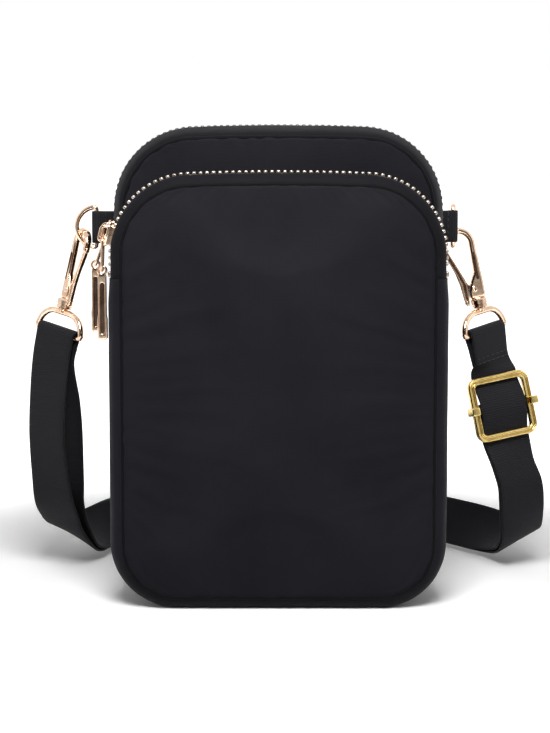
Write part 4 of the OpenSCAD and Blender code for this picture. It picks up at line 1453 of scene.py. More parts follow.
@dataclass
class ZipLook:
    """One zip: its teeth, its stops, its slider, its link and its pull bar."""

    name: str
    outline: SeamOutline
    depth: float
    slider: Matrix
    link_lean: float
    finishes: Finishes
    tooth: Material
    sink: float = 0.3 * MM
    pitch: float = 2.55 * MM
    tooth_w: float = 1.5 * MM
    tooth_h: float = 2.1 * MM
    row_w: float = 3.4 * MM
    reach: float = 0.9 * MM
    teeth_out: float = 3.4 * MM
    end_margin: float = 3.4 * MM
    plate_out: float = 5.9 * MM
    plate_t: float = 0.9 * MM
    bridge_out: float = 9.45 * MM
    link_wire: float = 0.6 * MM
    link_half: float = 2.0 * MM
    link_l: float = 13 * MM
    link_out: float = 7.95 * MM
    link_down: float = 1.3 * MM
    pull_l: float = 27 * MM
    pull_t: float = 1.6 * MM

    def build(self) -> None:
        """Builds and dresses every metal piece of the zip."""
        self._teeth()
        self._stops()
        self._slider()
        hang = self.slider @ shift(self.link_out, 0, -self.link_down) @ self._upright()
        self._link(hang)
        self._pull(hang)

    def _body(self, part: str) -> Body:
        """The body of one of this zip's moving parts."""
        return Body[f"{self.name.upper()}_{part}"]

    def _upright(self) -> Matrix:
        """Turn that hangs the link at its lean whatever the slider's angle."""
        ahead = self.slider.to_3x3() @ Vector((0, 0, 1))
        angle = math.atan2(ahead.x, ahead.z)
        return Matrix.Rotation(angle - self.link_lean, 4, "Y")

    def _tooth(self, toward: int) -> Piece:
        """One tooth, whose head points across the zip, a negative number for -Y."""
        half = self.tooth_w / 2
        head, root = toward * self.reach, toward * (self.reach - self.row_w)
        neck = toward * (self.reach - 1.1 * MM)
        top = max(0.5 * MM, self.tooth_h - self.sink - (0.0 if toward < 0 else 1.2 * MM))
        body = box_item("root", (-half, min(neck, root), 0.0), (half, max(neck, root), top),
                        0.24 * MM if top < 1 * MM else 0.6 * MM, 3)
        nub = box_item("head", (-0.7 * half, min(head, neck) - 0.15 * MM, 0.2 * top),
                       (0.7 * half, max(head, neck) + 0.15 * MM, 0.85 * top), 0.15 * MM, 1)
        return joined("tooth", [body, nub])

    def _teeth(self) -> None:
        """Sets both rows of teeth along the zip with Geometry Nodes."""
        run = self.outline.upper(DEPTHS.zip_end, 0.4 * MM)
        out = self.teeth_out + self.tooth_h / 2
        lift = [s.spot(out, self.depth) for s in run]
        gone = spans(lift)
        half_run = gone[-1] / 2 - self.end_margin
        count = math.floor(half_run / self.pitch)
        for part, toward, reach in (("fore", -1, count), ("aft", 1, count - 0.5)):
            middle, far = gone[-1] / 2, reach * self.pitch + 1e-7
            kept = [i for i, at in enumerate(gone) if abs(at - middle) < far]
            spots = [lift[i] for i in kept]
            first, last = kept[0], kept[-1]
            for edge, near, at in ((first - 1, first, middle - far), (last + 1, last, middle + far)):
                share = (at - gone[near]) / (gone[edge] - gone[near])
                spot = lift[near].lerp(lift[edge], share)
                spots.insert(0, spot) if edge < near else spots.append(spot)
            ways = [Vector((run[i].nx, 0, run[i].nz)) for i in kept]
            ways = [ways[0]] + ways + [ways[-1]]
            drop = [spot - way * (self.tooth_h / 2) for spot, way in zip(spots, ways)]
            scale = spans(drop)[-1] / spans(spots)[-1]
            piece = Repeater(f"{self.name}_teeth_{part}", self._tooth(toward), self.pitch * scale,
                             self.tooth, 0.02).along([(drop, ways)])
            dress(piece, self.tooth, Body.POUCH, [f"{self.name}_zip_teeth_{part}"])

    def _stops(self) -> None:
        """Builds the stops at both ends of the zip."""
        wide, low = self.row_w + self.reach, DEPTHS.zip_end + 0.4 * MM
        inner = self.outline.half_w + self.teeth_out
        outer = inner + self.tooth_h
        high = low + 2 * MM
        parts = [box_item("stop", (inner, self.depth - wide / 2, low), (outer, self.depth + wide / 2, high),
                          0.45 * MM, 3)]
        for side in (-1, 1):
            edges = sorted((self.depth + side * 0.2 * MM, self.depth + side * wide / 2))
            parts.append(box_item("stop", (-outer, edges[0], low), (-inner, edges[1], high), 0.4 * MM, 3))
        obj = joined(f"{self.name}_stops", parts)
        smooth_shade(obj, 40.0)
        dress(obj, self.tooth, Body.POUCH, [f"{self.name}_zip_stops"])

    def _slider(self) -> None:
        """Builds the slider's plates, its side lips and its bridge."""
        lie = spin(90, "Z")
        shield = softened(mm([(-4, 4.5), (-4, -0.5), (-3, -4.5), (3, -4.5), (4, -0.5), (4, 4.5)]),
                          1.6 * MM, 8)
        parts = []
        for out, thick in ((self.plate_out + self.plate_t / 2, 1.05 * MM), (0.55 * MM, 0.9 * MM)):
            parts.append(moved(plate("plate", [shield], thick, 0.4 * MM, 4), shift(out) @ lie))
        for side in (-1, 1):
            lip = softened(mm([(3.2, -3.4), (6.1, -3.9), (6.1, 4.1), (3.2, 3.6)]), 0.7 * MM)
            parts.append(moved(plate("lip", [lip], 0.95 * MM, 0.28 * MM),
                               shift(y=side * 3.5 * MM)))
        low, high, turn = self.plate_out + 0.5 * MM, self.bridge_out, 1.3 * MM
        foot = 2.95 * MM
        line = [(low, -foot)] + arc(high - turn, -foot + turn, turn, 270, 360, 6)
        line += arc(high - turn, foot - turn, turn, 0, 90, 6) + [(low, foot)]
        path = [Vector((x, 0, z)) for x, z in line]
        flat = rounded_box(0.95 * MM, 0.55 * MM, 0.42 * MM, 4)
        parts.append(swept("bridge", path, [(b, a) for a, b in flat], Vector((0, 1, 0))))
        obj = joined(f"{self.name}_slider", parts)
        moved(obj, self.slider)
        smooth_shade(obj, 40.0)
        dress(obj, self.finishes.rose, self._body("SLIDER"), [f"{self.name}_zip_slider"])

    def _link(self, hang: Matrix) -> None:
        """Builds the slim ring between the slider and the pull bar."""
        r = self.link_half
        loop = [Vector((0, y, z)) for y, z in
                arc(0, -r, r, 0, 180, 20) + arc(0, -self.link_l + r, r, 180, 360, 20)]
        ring = wire(f"{self.name}_link", loop, self.link_wire, Vector((1, 0, 0)), True, 16)
        moved(ring, hang)
        dress(ring, self.finishes.rose, self._body("LINK"), [f"{self.name}_pull_link"])

    def _pull(self, hang: Matrix) -> None:
        """Builds the pull bar with its eye and its long groove."""
        long, w, foot = self.pull_l, 1.7 * MM, 2.0 * MM
        neck = 1.15 * MM
        outline = arc(0, 0, 2.1 * MM, -42, 222, 26)
        half = [(foot - 0.7 * MM, -long), (foot, -long + 0.7 * MM), (foot, -long + 8 * MM),
                (w, -long + 10 * MM), (w, -neck - 1.4 * MM)]
        outline += [(-x, z) for x, z in reversed(half)] + half
        eye = arc(0, 0, 1.1 * MM, 0, 345, 23)
        groove = [(x, z - long / 2 - 1.2 * MM)
                  for x, z in rounded_box(0.72 * MM, long / 2 - 3.6 * MM, 0.7 * MM, 6)]
        bar = plate("bar", [outline, eye, groove], self.pull_t, 0.42 * MM, 4)
        # The groove's floor takes the dark plating that paints shade in the groove.
        floor = sunk(plate("floor", [[(x * 1.25, z) for x, z in groove]], 0.62 * MM, 0.05 * MM, 1))
        obj = joined(f"{self.name}_pull", [bar, floor])
        smooth_shade(obj, 40.0)
        level = Matrix.Rotation(self.link_lean, 4, "Y")
        moved(obj, hang @ shift(z=-self.link_l) @ level)
        dress(obj, self.finishes.rose, self._body("PULL"), [f"{self.name}_pull_bar"],
              self.finishes.painted_groove_shade)


MIRROR = Matrix.Scale(-1, 4, Vector((1, 0, 0)))


def front_slider_place(angle: float) -> Matrix:
    """Place of the front slider at an angle above its corner's centre, in degrees."""
    return (MIRROR @ shift(FRONT.corner_x, DEPTHS.front_zip, FRONT.corner_z)
            @ spin(-angle, "Y") @ shift(FRONT.high_r))


def main_slider_place(height: float) -> Matrix:
    """Place of the main slider at a height on the left side."""
    return MIRROR @ shift(MAIN.half_w, DEPTHS.main_zip, height)


# ------------------------ straps


def ribbon(
    name: str,
    path: Sequence[Vector],
    across: Sequence[Vector],
    width: float,
    thickness: float,
    columns: int = 14,
    sway: float = 0.0,
) -> Piece:
    """Lays flat webbing along a path.

    Args:
        name: The object's name.
        path: The webbing's middle line in metres.
        across: The direction across it at each point.
        width: The webbing's width.
        thickness: Its thickness.
        columns: Steps across each face.
        sway: How far its edges rise and fall.

    Returns:
        The webbing as a closed mesh with a UV map in metres.
    """
    gone = spans(path)
    rim = thickness / 2
    flat = width / 2 - rim * 0.6
    steps = [2 * k / columns - 1 for k in range(columns + 1)]
    top: list[Point2] = [(t * flat, rim * (1 - 0.12 * t ** 6)) for t in steps]
    rolled = [(flat + rim * 0.6 * math.sin(a), rim * 0.88 * math.cos(a))
              for a in (0.7, 1.2, math.pi / 2, 1.94, 2.44)]
    section = top + rolled + [(x, -h) for x, h in reversed(top)] + [(-x, h) for x, h in reversed(rolled)]
    rows = []
    for i, (point, ahead) in enumerate(zip(path, headings(path))):
        side = (across[i] - ahead * across[i].dot(ahead)).normalized()
        rise = ahead.cross(side)
        lift = sway * wobble(gone[i], 3.0, 26 * MM)
        edge = sway * wobble(gone[i], 8.0, 17 * MM)
        rows.append([point + side * a + rise * (b + lift + edge * (2 * a / width) ** 2) for a, b in section])
    around = spans([Vector((a, b, 0)) for a, b in section], True)
    return woven_grid(name, rows, around, gone, True, True)


def stitch_line(points: Sequence[Vector], way: Vector) -> tuple[Ring, Ring]:
    """A straight or bent seam as points with one outward direction."""
    return list(points), [way] * len(points)


@dataclass(frozen=True)
class Grip:
    """Metal that webbing lies on: its middle, the way up and the way across."""

    spot: Vector
    up: Vector
    across: Vector

    def beside(self, depth: float, rise: float) -> Vector:
        """A point at a depth inward and a rise upward, both in millimetres."""
        return self.spot + self.up.cross(self.across) * (depth * MM) + self.up * (rise * MM)

    def place(self) -> Matrix:
        """Frame with X across, Y inward and Z up."""
        turn = Matrix((self.across, self.up.cross(self.across), self.up)).transposed().to_4x4()
        return Matrix.Translation(self.spot) @ turn


@dataclass
class Clasp:
    """One side of the strap's hardware, in millimetres: tab, side ring, hook, gate, swivel ring."""

    side: Side
    tab_angle: float
    bow_turn: float
    bow_down: float
    lean: float
    turn: float
    ring_turn: float
    finishes: Finishes
    root: tuple = (62.0, 16.55, 147.8)
    tab_l: float = 12
    tab_w: float = 13
    tab_ply: float = 0.47
    ring_r: float = 8.2
    ring_wire: float = 1.0
    eye: tuple = (1.4, -1.4)
    eye_r: float = 4.5
    hook_wire: float = 2.5
    hook_t: float = 3.0
    reach: float = 29
    collar_x: float = 5.4
    collar_r: float = 3.3
    pivot: tuple = (4.4, -20.9)
    gate_r: float = 18
    gate_t: float = 1.7
    swivel_wire: float = 1.3
    swivel_half: float = 12.25
    swivel_bend: float = 8.5

    @property
    def label(self) -> str:
        """The side's name in the pieces' names."""
        return self.side.name.lower()

    def tab_place(self) -> Matrix:
        """Frame of the tab: X runs outward from its knee."""
        place = shift(*mm([self.root])[0]) @ spin(self.tab_angle, "Z")
        return MIRROR @ place if self.side is Side.LEFT else place

    def hang_point(self) -> Vector:
        """Where the side ring's wire lies in the hook's eye."""
        down, first = math.radians(self.bow_down), math.radians(self.tab_angle)
        second = math.radians(self.tab_angle + self.bow_turn)
        out, (x, y, z) = self.ring_r * math.cos(down), self.root
        return Vector((self.side.value * (x + self.tab_l * math.cos(first) + out * math.cos(second)) * MM,
                       (y + self.tab_l * math.sin(first) + out * math.sin(second)) * MM,
                       (z - self.ring_r * math.sin(down)) * MM))

    def clasp_place(self) -> Matrix:
        """Frame of the hook: the held wire passes its origin."""
        return Matrix.Translation(self.hang_point()) @ spin(self.lean, "Y") @ spin(self.turn, "Z")

    def bar_height(self) -> float:
        """Height of the swivel ring's bar in the hook's frame."""
        return -self.reach - 0.3 - self.swivel_wire - self.swivel_bend

    def grip(self) -> Grip:
        """The swivel ring's bar, across it outward."""
        lean, out = spin(self.lean, "Y", 3), Vector((self.side.value, 0, 0))
        bar = self.clasp_place() @ standing([(self.collar_x, self.bar_height())])[0]
        return Grip(bar, lean @ Vector((0, 0, 1)), lean @ (spin(self.ring_turn, "Z", 3) @ out))

    def build(self) -> None:
        """Builds and dresses every piece of this side."""
        self._tab()
        self._ring()
        self._hook()
        self._gate()
        self._rivet()
        self._swivel()

    def _body(self, part: str) -> Body:
        """The body of one of this side's moving parts."""
        return Body[f"{self.side.name}_{part}"]

    def _plated(self, obj: Piece, body: Body, node: str, grooves: Optional[Material] = None) -> None:
        """Dresses one casting of this side."""
        dress(obj, self.finishes.rose, body, [f"{self.label}_{node}"], grooves)

    def _tab(self) -> None:
        """Builds the folded webbing tab with its stitches."""
        place, ply, knee = self.tab_place(), self.tab_ply, 2.4
        wrap = self.ring_wire + 0.62
        line: list[Point2] = [(-0.6, -ply), (2.5, -ply), (self.tab_l - 4.4, -ply),
                              (self.tab_l - knee, -ply * 1.3), (self.tab_l - 1.2, -wrap * 0.9)]
        line += arc(self.tab_l, 0, wrap, -100, 100, 14)
        line += [(x, -y) for x, y in reversed(line[:5])]
        path = [Vector((x, y, 0)) for x, y in mm(line)]
        wide = self.tab_w * MM
        loop = ribbon("tab", path, [Vector((0, 0, 1))] * len(path), wide, 0.9 * MM, 10)
        stub = [spin(-self.tab_angle, "Z") @ Vector((x * MM, 0, 0)) for x in (-2.4, -1.2, 0.2)]
        obj = joined(f"{self.label}_tab_loop",
                     [loop, ribbon("stub", stub, [Vector((0, 0, 1))] * 3, wide, 1.2 * MM, 10)])
        moved(obj, place)
        smooth_shade(obj)
        dress(obj, self.finishes.webbing, Body.POUCH, [f"{self.label}_tab"])
        lines = []
        for x in (self.tab_l - 3.6, self.tab_l - 8.2):
            for face in (-1, 1):
                ends = mm([(x, face * (ply * 1.25 + 0.47), s * 5.2) for s in (-1, 1)])
                lines.append(stitch_line([place @ Vector(end) for end in ends],
                                         (place.to_3x3() @ Vector((0, face, 0))).normalized()))
        seam = Repeater(f"{self.label}_tab_stitches", stitch_item(1.7 * MM, 0.4 * MM), 2.2 * MM,
                        self.finishes.thread, 0.08).along(lines)
        dress(seam, self.finishes.thread, Body.POUCH)

    def _ring(self) -> None:
        """Builds the side ring: a straight bar in the tab and a round bow."""
        r, bend = self.ring_r, 1.1
        line = [(0.0, -r + bend * 1.6), (0.0, 0.0), (0.0, r - bend * 1.6),
                (0.25, r - bend * 0.55), (bend * 0.9, r * 0.995)]
        line += arc(0, 0, r, 80, -80, 44)
        line += [(bend * 0.9, -r * 0.995), (0.25, -r + bend * 0.55)]
        ring = wire(f"{self.label}_ring_wire", standing(line), self.ring_wire * MM, Vector((0, 1, 0)), True)
        moved(ring, self.tab_place() @ shift(self.tab_l * MM) @ spin(self.bow_turn, "Z"))
        self._plated(ring, self._body("RING"), "side_ring")

    def _hook(self) -> None:
        """Builds the hook's cast body with its slot and its collar."""
        (ex, ez), px = self.eye, self.pivot[0]
        r_in, r_out = self.eye_r, self.eye_r + self.hook_wire
        base, cx, cr = 4 - self.reach, self.collar_x, self.collar_r
        outline = [(ex - r_out - 0.15, ez - 1.9)] + arc(ex, ez, r_out, 180, 0, 30)
        outline += [(cx + cr + 0.02, base + 5.2), (cx + cr, base + 2), (cx + cr - 0.5, base),
                    (cx - cr + 0.5, base), (cx - cr, base + 2), (cx - cr + 0.15, base + 4.4),
                    (px - 0.4, base + 8.1), (ex + r_in - 0.35, base + 11)]
        outline += arc(ex, ez, r_in, 0, 180, 24) + [(ex - r_in + 0.1, ez - 2.2)]
        body = plate("body", [mm(outline)], self.hook_t * MM, 1.15 * MM, 6)
        slot = [(cx + 1.35 + x, z - 11.3) for x, z in rounded_box(0.55, 5.8, 0.5, 6)]
        grooved(body, mm(slot), self.hook_t / 2 * MM, 0.6 * MM)
        turns = (-0.9, -0.5, -0.1, 0.3, 0.7, 1.1, 1.4)
        tip = turned("tip", mm([(0, -1.0), *((1.55 * math.cos(a), 1.7 * math.sin(a)) for a in turns),
                                (0, 1.7)]), 24)
        moved(tip, shift((ex - r_in - self.hook_wire / 2) * MM, 0, (ez - 1.2) * MM))
        collar = turned("collar", [(r, z - self.reach * MM) for r, z in mm([
            (0, 0), (cr - 0.75, 0), (cr - 0.3, 0.12), (cr, 0.5), (cr, 1.1), (cr - 0.28, 1.35),
            (cr - 0.28, 1.6), (cr, 1.85), (cr, 3.5), (cr - 0.45, 4.0), (cr - 1.2, 4.3), (0, 4.3)])])
        moved(collar, shift(cx * MM))
        obj = joined(f"{self.label}_hook_body", [body, tip, collar])
        moved(obj, self.clasp_place())
        smooth_shade(obj, 38.0)
        self._plated(obj, self._body("HOOK"), "hook", self.finishes.painted_groove_shade)

    def _gate(self) -> None:
        """Builds the sprung gate with its thumb tail."""
        px, pz = self.pivot
        nose = self.eye[0] - self.eye_r - self.hook_wire
        top = pz + self.gate_r - 0.35
        tail = pz - 6.6
        edge = self.collar_x - self.collar_r
        outline = softened(mm([
            (nose + 0.2, top), (nose + 2.2, top + 0.25), (px - 1.9, pz + 2.2), (px + 1.2, pz + 1.3),
            (px + 1.5, pz - 0.8), (px - 0.2, pz - 1.7), (edge - 0.25, -self.reach + 4.6),
            (edge - 0.7, tail), (edge - 2.0, tail + 0.1), (edge - 2.7, pz - 3.2),
            (edge - 3.1, pz + 2.4), (nose + 3.5, pz + 8)]), 0.8 * MM)
        channel = softened(mm([
            (nose + 1.15, top - 1.2), (nose + 1.75, top - 1.0), (nose + 4.95, pz + 7.8),
            (edge - 1.0, pz + 2.4), (edge - 1.25, tail + 1.5), (edge - 1.75, pz - 2.6),
            (edge - 1.75, pz + 2.2), (nose + 4.25, pz + 8)]), 0.25 * MM)
        lever = plate("lever", [outline, channel], self.gate_t * MM, 0.4 * MM, 4)
        # The channel's floor takes the dark plating that paints shade in the channel.
        floor = sunk(plate("floor", [channel], 0.6 * MM, 0.0, 1))
        rows = []
        for k in range(5):
            z, half = tail + 1.0 + 1.05 * k, self.gate_t * 0.42
            low, high = mm([(edge - 2.62 + 0.06 * k, -half, z), (edge - 1.9, half, z + 0.5)])
            rows.append(box_item("grip", low, high, 0.16 * MM, 1))
        obj = joined(f"{self.label}_gate_lever", [lever, floor] + rows)
        moved(obj, self.clasp_place())
        smooth_shade(obj, 38.0)
        self._plated(obj, self._body("GATE"), "gate", self.finishes.painted_groove_shade)

    def _rivet(self) -> None:
        """Builds the gate's pin with its domed heads."""
        half, head = self.hook_t / 2, 1.3
        dome = mm([(0, half + 0.1), (0.35, half + 0.12), (0.55, half + 0.26), (1.0, half + 0.24),
                   (head, half + 0.06), (head, half - 0.25), (0.95, half - 0.3)])
        pin = turned(f"{self.label}_gate_pin", dome + [(r, -z) for r, z in reversed(dome)], 28)
        moved(pin, self.clasp_place() @ shift(self.pivot[0] * MM, 0, self.pivot[1] * MM) @ spin(90, "X"))
        self._plated(pin, self._body("HOOK"), "gate_rivet")

    def _swivel(self) -> None:
        """Builds the swivel ring: a post in the collar and a bow for the webbing."""
        flat, bend, half = self.swivel_half - self.swivel_bend, self.swivel_bend, self.swivel_half
        line = [(-half + 1.3, 0.0), (0.0, 0.0), (half - 1.3, 0.0), (half - 0.35, 0.3), (half - 0.02, 1.2)]
        line += arc(flat, 0, bend, 12, 90, 18) + arc(-flat, 0, bend, 90, 168, 18)
        line += [(-half + 0.02, 1.2), (-half + 0.35, 0.3)]
        path = standing([(x, z + self.bar_height()) for x, z in line])
        bow = wire("bow", path, self.swivel_wire * MM, Vector((0, 1, 0)), True)
        low, neck = -self.reach - 0.3 - self.swivel_wire, -self.reach + 1.4
        post = turned("post", mm([(0, low), (1.9, low), (1.75, low + 1.0), (1.4, low + 1.5),
                                  (1.35, neck), (0, neck)]), 28)
        obj = joined(f"{self.label}_swivel_bow", [bow, post])
        moved(obj, self.clasp_place() @ shift(self.collar_x * MM) @ spin(self.ring_turn - self.turn, "Z"))
        smooth_shade(obj, 40.0)
        self._plated(obj, Body.POUCH, "swivel_ring")


@dataclass
class Adjuster:
    """The slide adjuster, in millimetres: a double-edged frame and the bar clasped behind it."""

    finishes: Finishes
    half_x: float = 12.4
    half_z: float = 12.0
    thickness: float = 2.2
    bar_r: float = 1.1
    bar_half: float = 13.9

    @property
    def bar_depth(self) -> float:
        """How far behind the frame's middle the bar's middle lies."""
        return self.thickness / 2 + 0.3 + self.bar_r

    def grip(self) -> Grip:
        """The frame's middle, the way up the strap and the way across it."""
        up, flat = Vector((-0.2, 0.12, 0.97)).normalized(), Vector((0.94, 0.34, 0.12))
        return Grip(Vector((93.3, 23.5, 73.0)) * MM, up, (flat - up * flat.dot(up)).normalized())

    def build(self) -> None:
        """Builds and dresses the frame and the bar."""
        wide, deep = 1.5, self.thickness / 2
        section = softened(mm([
            (-wide, -deep), (wide, -deep), (wide, 0.55 * deep), (0.82 * wide, deep), (0.5 * wide, deep),
            (0.3 * wide, 0.42 * deep), (-0.3 * wide, 0.42 * deep), (-0.5 * wide, deep),
            (-0.82 * wide, deep), (-wide, 0.55 * deep)]), 0.3 * MM, 3)
        path = standing(rounded_box(self.half_x, self.half_z, 3.0, 9))
        ring = swept("adjuster_ring", path, section, Vector((0, -1, 0)), True)
        moved(ring, self.grip().place())
        smooth_shade(ring, 50.0)
        dress(ring, self.finishes.brass, Body.ADJUSTER, ["adjuster_frame"])
        self._bar()

    def _bar(self) -> None:
        """Builds the round bar and the lips that clasp the frame's sides."""
        reach, r, depth = self.bar_half, self.bar_r, self.bar_depth
        half = [(r, reach - 0.3), (r * 0.8, reach), (0, reach)]
        rod = turned("rod", mm([(x, -z) for x, z in reversed(half)] + half), 24)
        parts = [moved(rod, shift(y=depth * MM) @ spin(90, "Y"))]
        front, back = -2.4, depth + r
        lip_in, lip_out, wall = 11.7, 15.25, 1.05
        for side in (-1, 1):
            clip = softened(mm([(side * x, y) for x, y in (
                (lip_in, front), (lip_out, front), (lip_out, back), (lip_in, back), (lip_in, back - 2.0),
                (lip_out - wall, back - 2.0), (lip_out - wall, front + wall), (lip_in, front + wall))]),
                            0.5 * MM)
            shape = plate("clip", [clip], 3.2 * MM, 0.42 * MM, 4)
            parts.append(moved(shape, spin(-90, "X") @ Matrix.Scale(-1, 4, Vector((0, 0, 1)))))
        obj = joined("adjuster_clip_bar", parts)
        moved(obj, self.grip().place())
        smooth_shade(obj, 40.0)
        dress(obj, self.finishes.brass, Body.CROSS_BAR, ["adjuster_bar"])


Spot = tuple[Vector, Vector]
Place = tuple[Vector, Vector, float]


@dataclass
class Strap:
    """The crossbody strap from the right ring through the adjuster to the left ring and back."""

    left: Clasp
    right: Clasp
    adjuster: Adjuster
    finishes: Finishes
    width: float = 20.5
    thickness: float = 1.3
    play: float = 0.1
    run_steps: int = 9
    wrap_steps: int = 16

    def _wrap_r(self, bar: float) -> float:
        """Radius of the webbing's middle where it bends over a bar of some radius."""
        return bar + self.thickness / 2 + self.play

    def _run_places(self) -> list[Place]:
        """Places of the outer run: middle point, direction across, inner layer's distance."""
        t, adj, right, left = self.thickness, self.adjuster, self.right.grip(), self.left.grip()
        weave = adj.thickness / 2 + 0.3 + t / 2
        bulge = -adj.bar_depth + adj.bar_r + 1.5 * t + 0.5
        places: list[Place] = [
            (right.beside(0.5 - self._wrap_r(self.right.swivel_wire), -3.5), right.across, 2.0),
            (right.beside(-t * 0.6, -12), right.across, 2.0)]
        for depth, rise, gap in ((weave, 15, 2.0), (weave, 11, 2.0), (-bulge, 3, 2.0), (-bulge, -3, 2.0),
                                 (weave, -11, 1.8), (weave, -15, 1.8)):
            places.append((adj.grip().beside(depth, rise), adj.grip().across, gap))
        for point, way, gap in (
            ((98.5, 22, 49), (0.85, 0.52, 0.05), 1.8), ((101.7, 23.5, 38.4), (0.86, 0.5, -0.05), 1.8),
            ((103.6, 32.5, 24.5), (0.83, 0.55, -0.04), 1.8), ((104.2, 43, 13.9), (0.75, 0.66, 0.1), 1.8),
            ((101.3, 56, 9.6), (0.5, 0.78, 0.38), 1.8), ((92.6, 71.5, 10.4), (0.32, 0.5, 0.8), 1.8),
            ((76.3, 90.5, 11.6), (0.05, 0.11, 0.99), 1.8), ((60, 113.5, 11.2), (0, 0.1, 1), 1.8),
            ((34, 127.5, 11.2), (0, 0.1, 1), 1.8), ((0, 131.5, 11.2), (0, 0.08, 1), 1.8),
            ((-34, 127.5, 11.2), (0, 0.1, 1), 1.8), ((-60, 113.5, 11.2), (0, 0.1, 1), 1.8),
            ((-74.5, 90.5, 11.6), (0.02, 0.11, 0.99), 1.8), ((-80.2, 75.5, 10.8), (-0.22, 0.5, 0.84), 1.9),
            ((-85.4, 61, 10.4), (-0.46, 0.75, 0.45), 2.2), ((-89.6, 49, 14.5), (-0.62, 0.78, 0.08), 4.0),
            ((-93, 39.5, 22), (-0.7, 0.7, -0.16), 6.0), ((-94.9, 28, 35.8), (-0.76, 0.62, -0.18), 9.0),
            ((-96.2, 21.5, 59), (-0.75, 0.65, -0.1), 10.5), ((-95.4, 19.5, 77), (-0.77, 0.63, -0.01), 8.0),
        ):
            places.append((Vector(point) * MM, Vector(way), gap))
        return places + [(left.beside(t * 0.8, -12), left.across, 3.2),
                         (left.beside(self._wrap_r(self.left.swivel_wire) - 0.3, -4), left.across, 3.4)]

    def _smooth(self, places: Sequence[Place]) -> list[Place]:
        """Runs a smooth line through the places, as the solid strap does.

        Args:
            places: The places to pass through.

        Returns:
            Many more places on the line.
        """
        def pick(i: int) -> tuple[Vector, Vector, float]:
            """A place, or one carried on past the ends."""
            last = len(places) - 1
            if 0 <= i <= last:
                return places[i]
            a, b = (places[0], places[1]) if i < 0 else (places[last], places[last - 1])
            return 2 * a[0] - b[0], 2 * a[1] - b[1], 2 * a[2] - b[2]

        def mix(values: Sequence, t: float) -> object:
            """Catmull-Rom value between the middle two of four."""
            a, b, c, d = values
            return 0.5 * (2 * b + (c - a) * t + (2 * a - 5 * b + 4 * c - d) * t ** 2
                          + (3 * b - a - 3 * c + d) * t ** 3)

        made = []
        for i in range(len(places) - 1):
            near = [pick(i + k) for k in (-1, 0, 1, 2)]
            for j in range(self.run_steps):
                t = j / self.run_steps
                made.append(tuple(mix([p[k] for p in near], t) for k in range(3)))
        return made + [places[-1]]

    def _wrap(self, grip: Grip, r: float, depth: float = 0.0) -> list[Spot]:
        """Half a turn of webbing over a bar at a depth, inner side first."""
        turns = [math.pi * i / self.wrap_steps for i in range(self.wrap_steps + 1)]
        return [(grip.beside(depth + r * math.cos(a), r * math.sin(a)), grip.across) for a in turns]

    def line(self) -> list[Spot]:
        """The whole strap's middle line with the direction across it."""
        t, adj, right = self.thickness, self.adjuster, self.right.grip()
        wrap = self._wrap_r(self.right.swivel_wire)
        tail = [(right.beside(depth, rise), right.across) for depth, rise in (
            (t * 0.6, -13), (t * 0.7, -11), (t * 0.8, -9), (wrap - 0.85, -6), (wrap - 0.5, -3.5),
            (wrap - 0.12, -1.6))]
        outer = self._smooth(self._run_places())
        ways = headings([p[0] for p in outer])
        start = 6 * self.run_steps + 4
        inner = []
        for i in range(len(outer) - 1, start - 1, -1):
            spot, across, gap = outer[i]
            side = (across - ways[i] * across.dot(ways[i])).normalized()
            inner.append((spot - ways[i].cross(side) * gap * MM, across))
        bar_wrap = self._wrap_r(adj.bar_r)
        end = self._wrap(adj.grip(), bar_wrap, adj.bar_depth)
        end.append((adj.grip().beside(adj.bar_depth - bar_wrap + 0.1, -2), adj.grip().across))
        return (tail + self._wrap(right, wrap) + [(p[0], p[1]) for p in outer]
                + self._wrap(self.left.grip(), self._wrap_r(self.left.swivel_wire)) + inner + end)

    def build(self) -> None:
        """Builds and dresses the webbing and its stitches."""
        line = self.line()
        obj = ribbon("strap", [p for p, _ in line], [a for _, a in line], self.width * MM,
                     self.thickness * MM, 16, 0.12 * MM)
        dress(obj, self.finishes.webbing, Body.POUCH, ["strap_webbing"])
        log.info("strap length %.0f mm", spans([p for p, _ in line])[-1] / MM)
        right, lines = self.right.grip(), []
        for rise in (-10.2, -12.2):
            for face in (1, -1):
                spot = right.beside(-face * (1.1 * self.thickness + 0.05), rise)
                half = right.across * 8.6 * MM
                lines.append(stitch_line([spot - half, spot + half], right.up.cross(right.across) * -face))
        seam = Repeater("strap_end_stitches", stitch_item(1.9 * MM, 0.42 * MM), 2.5 * MM,
                        self.finishes.thread, 0.08).along(lines)
        dress(seam, self.finishes.thread, Body.POUCH)


# ------------------------ studio


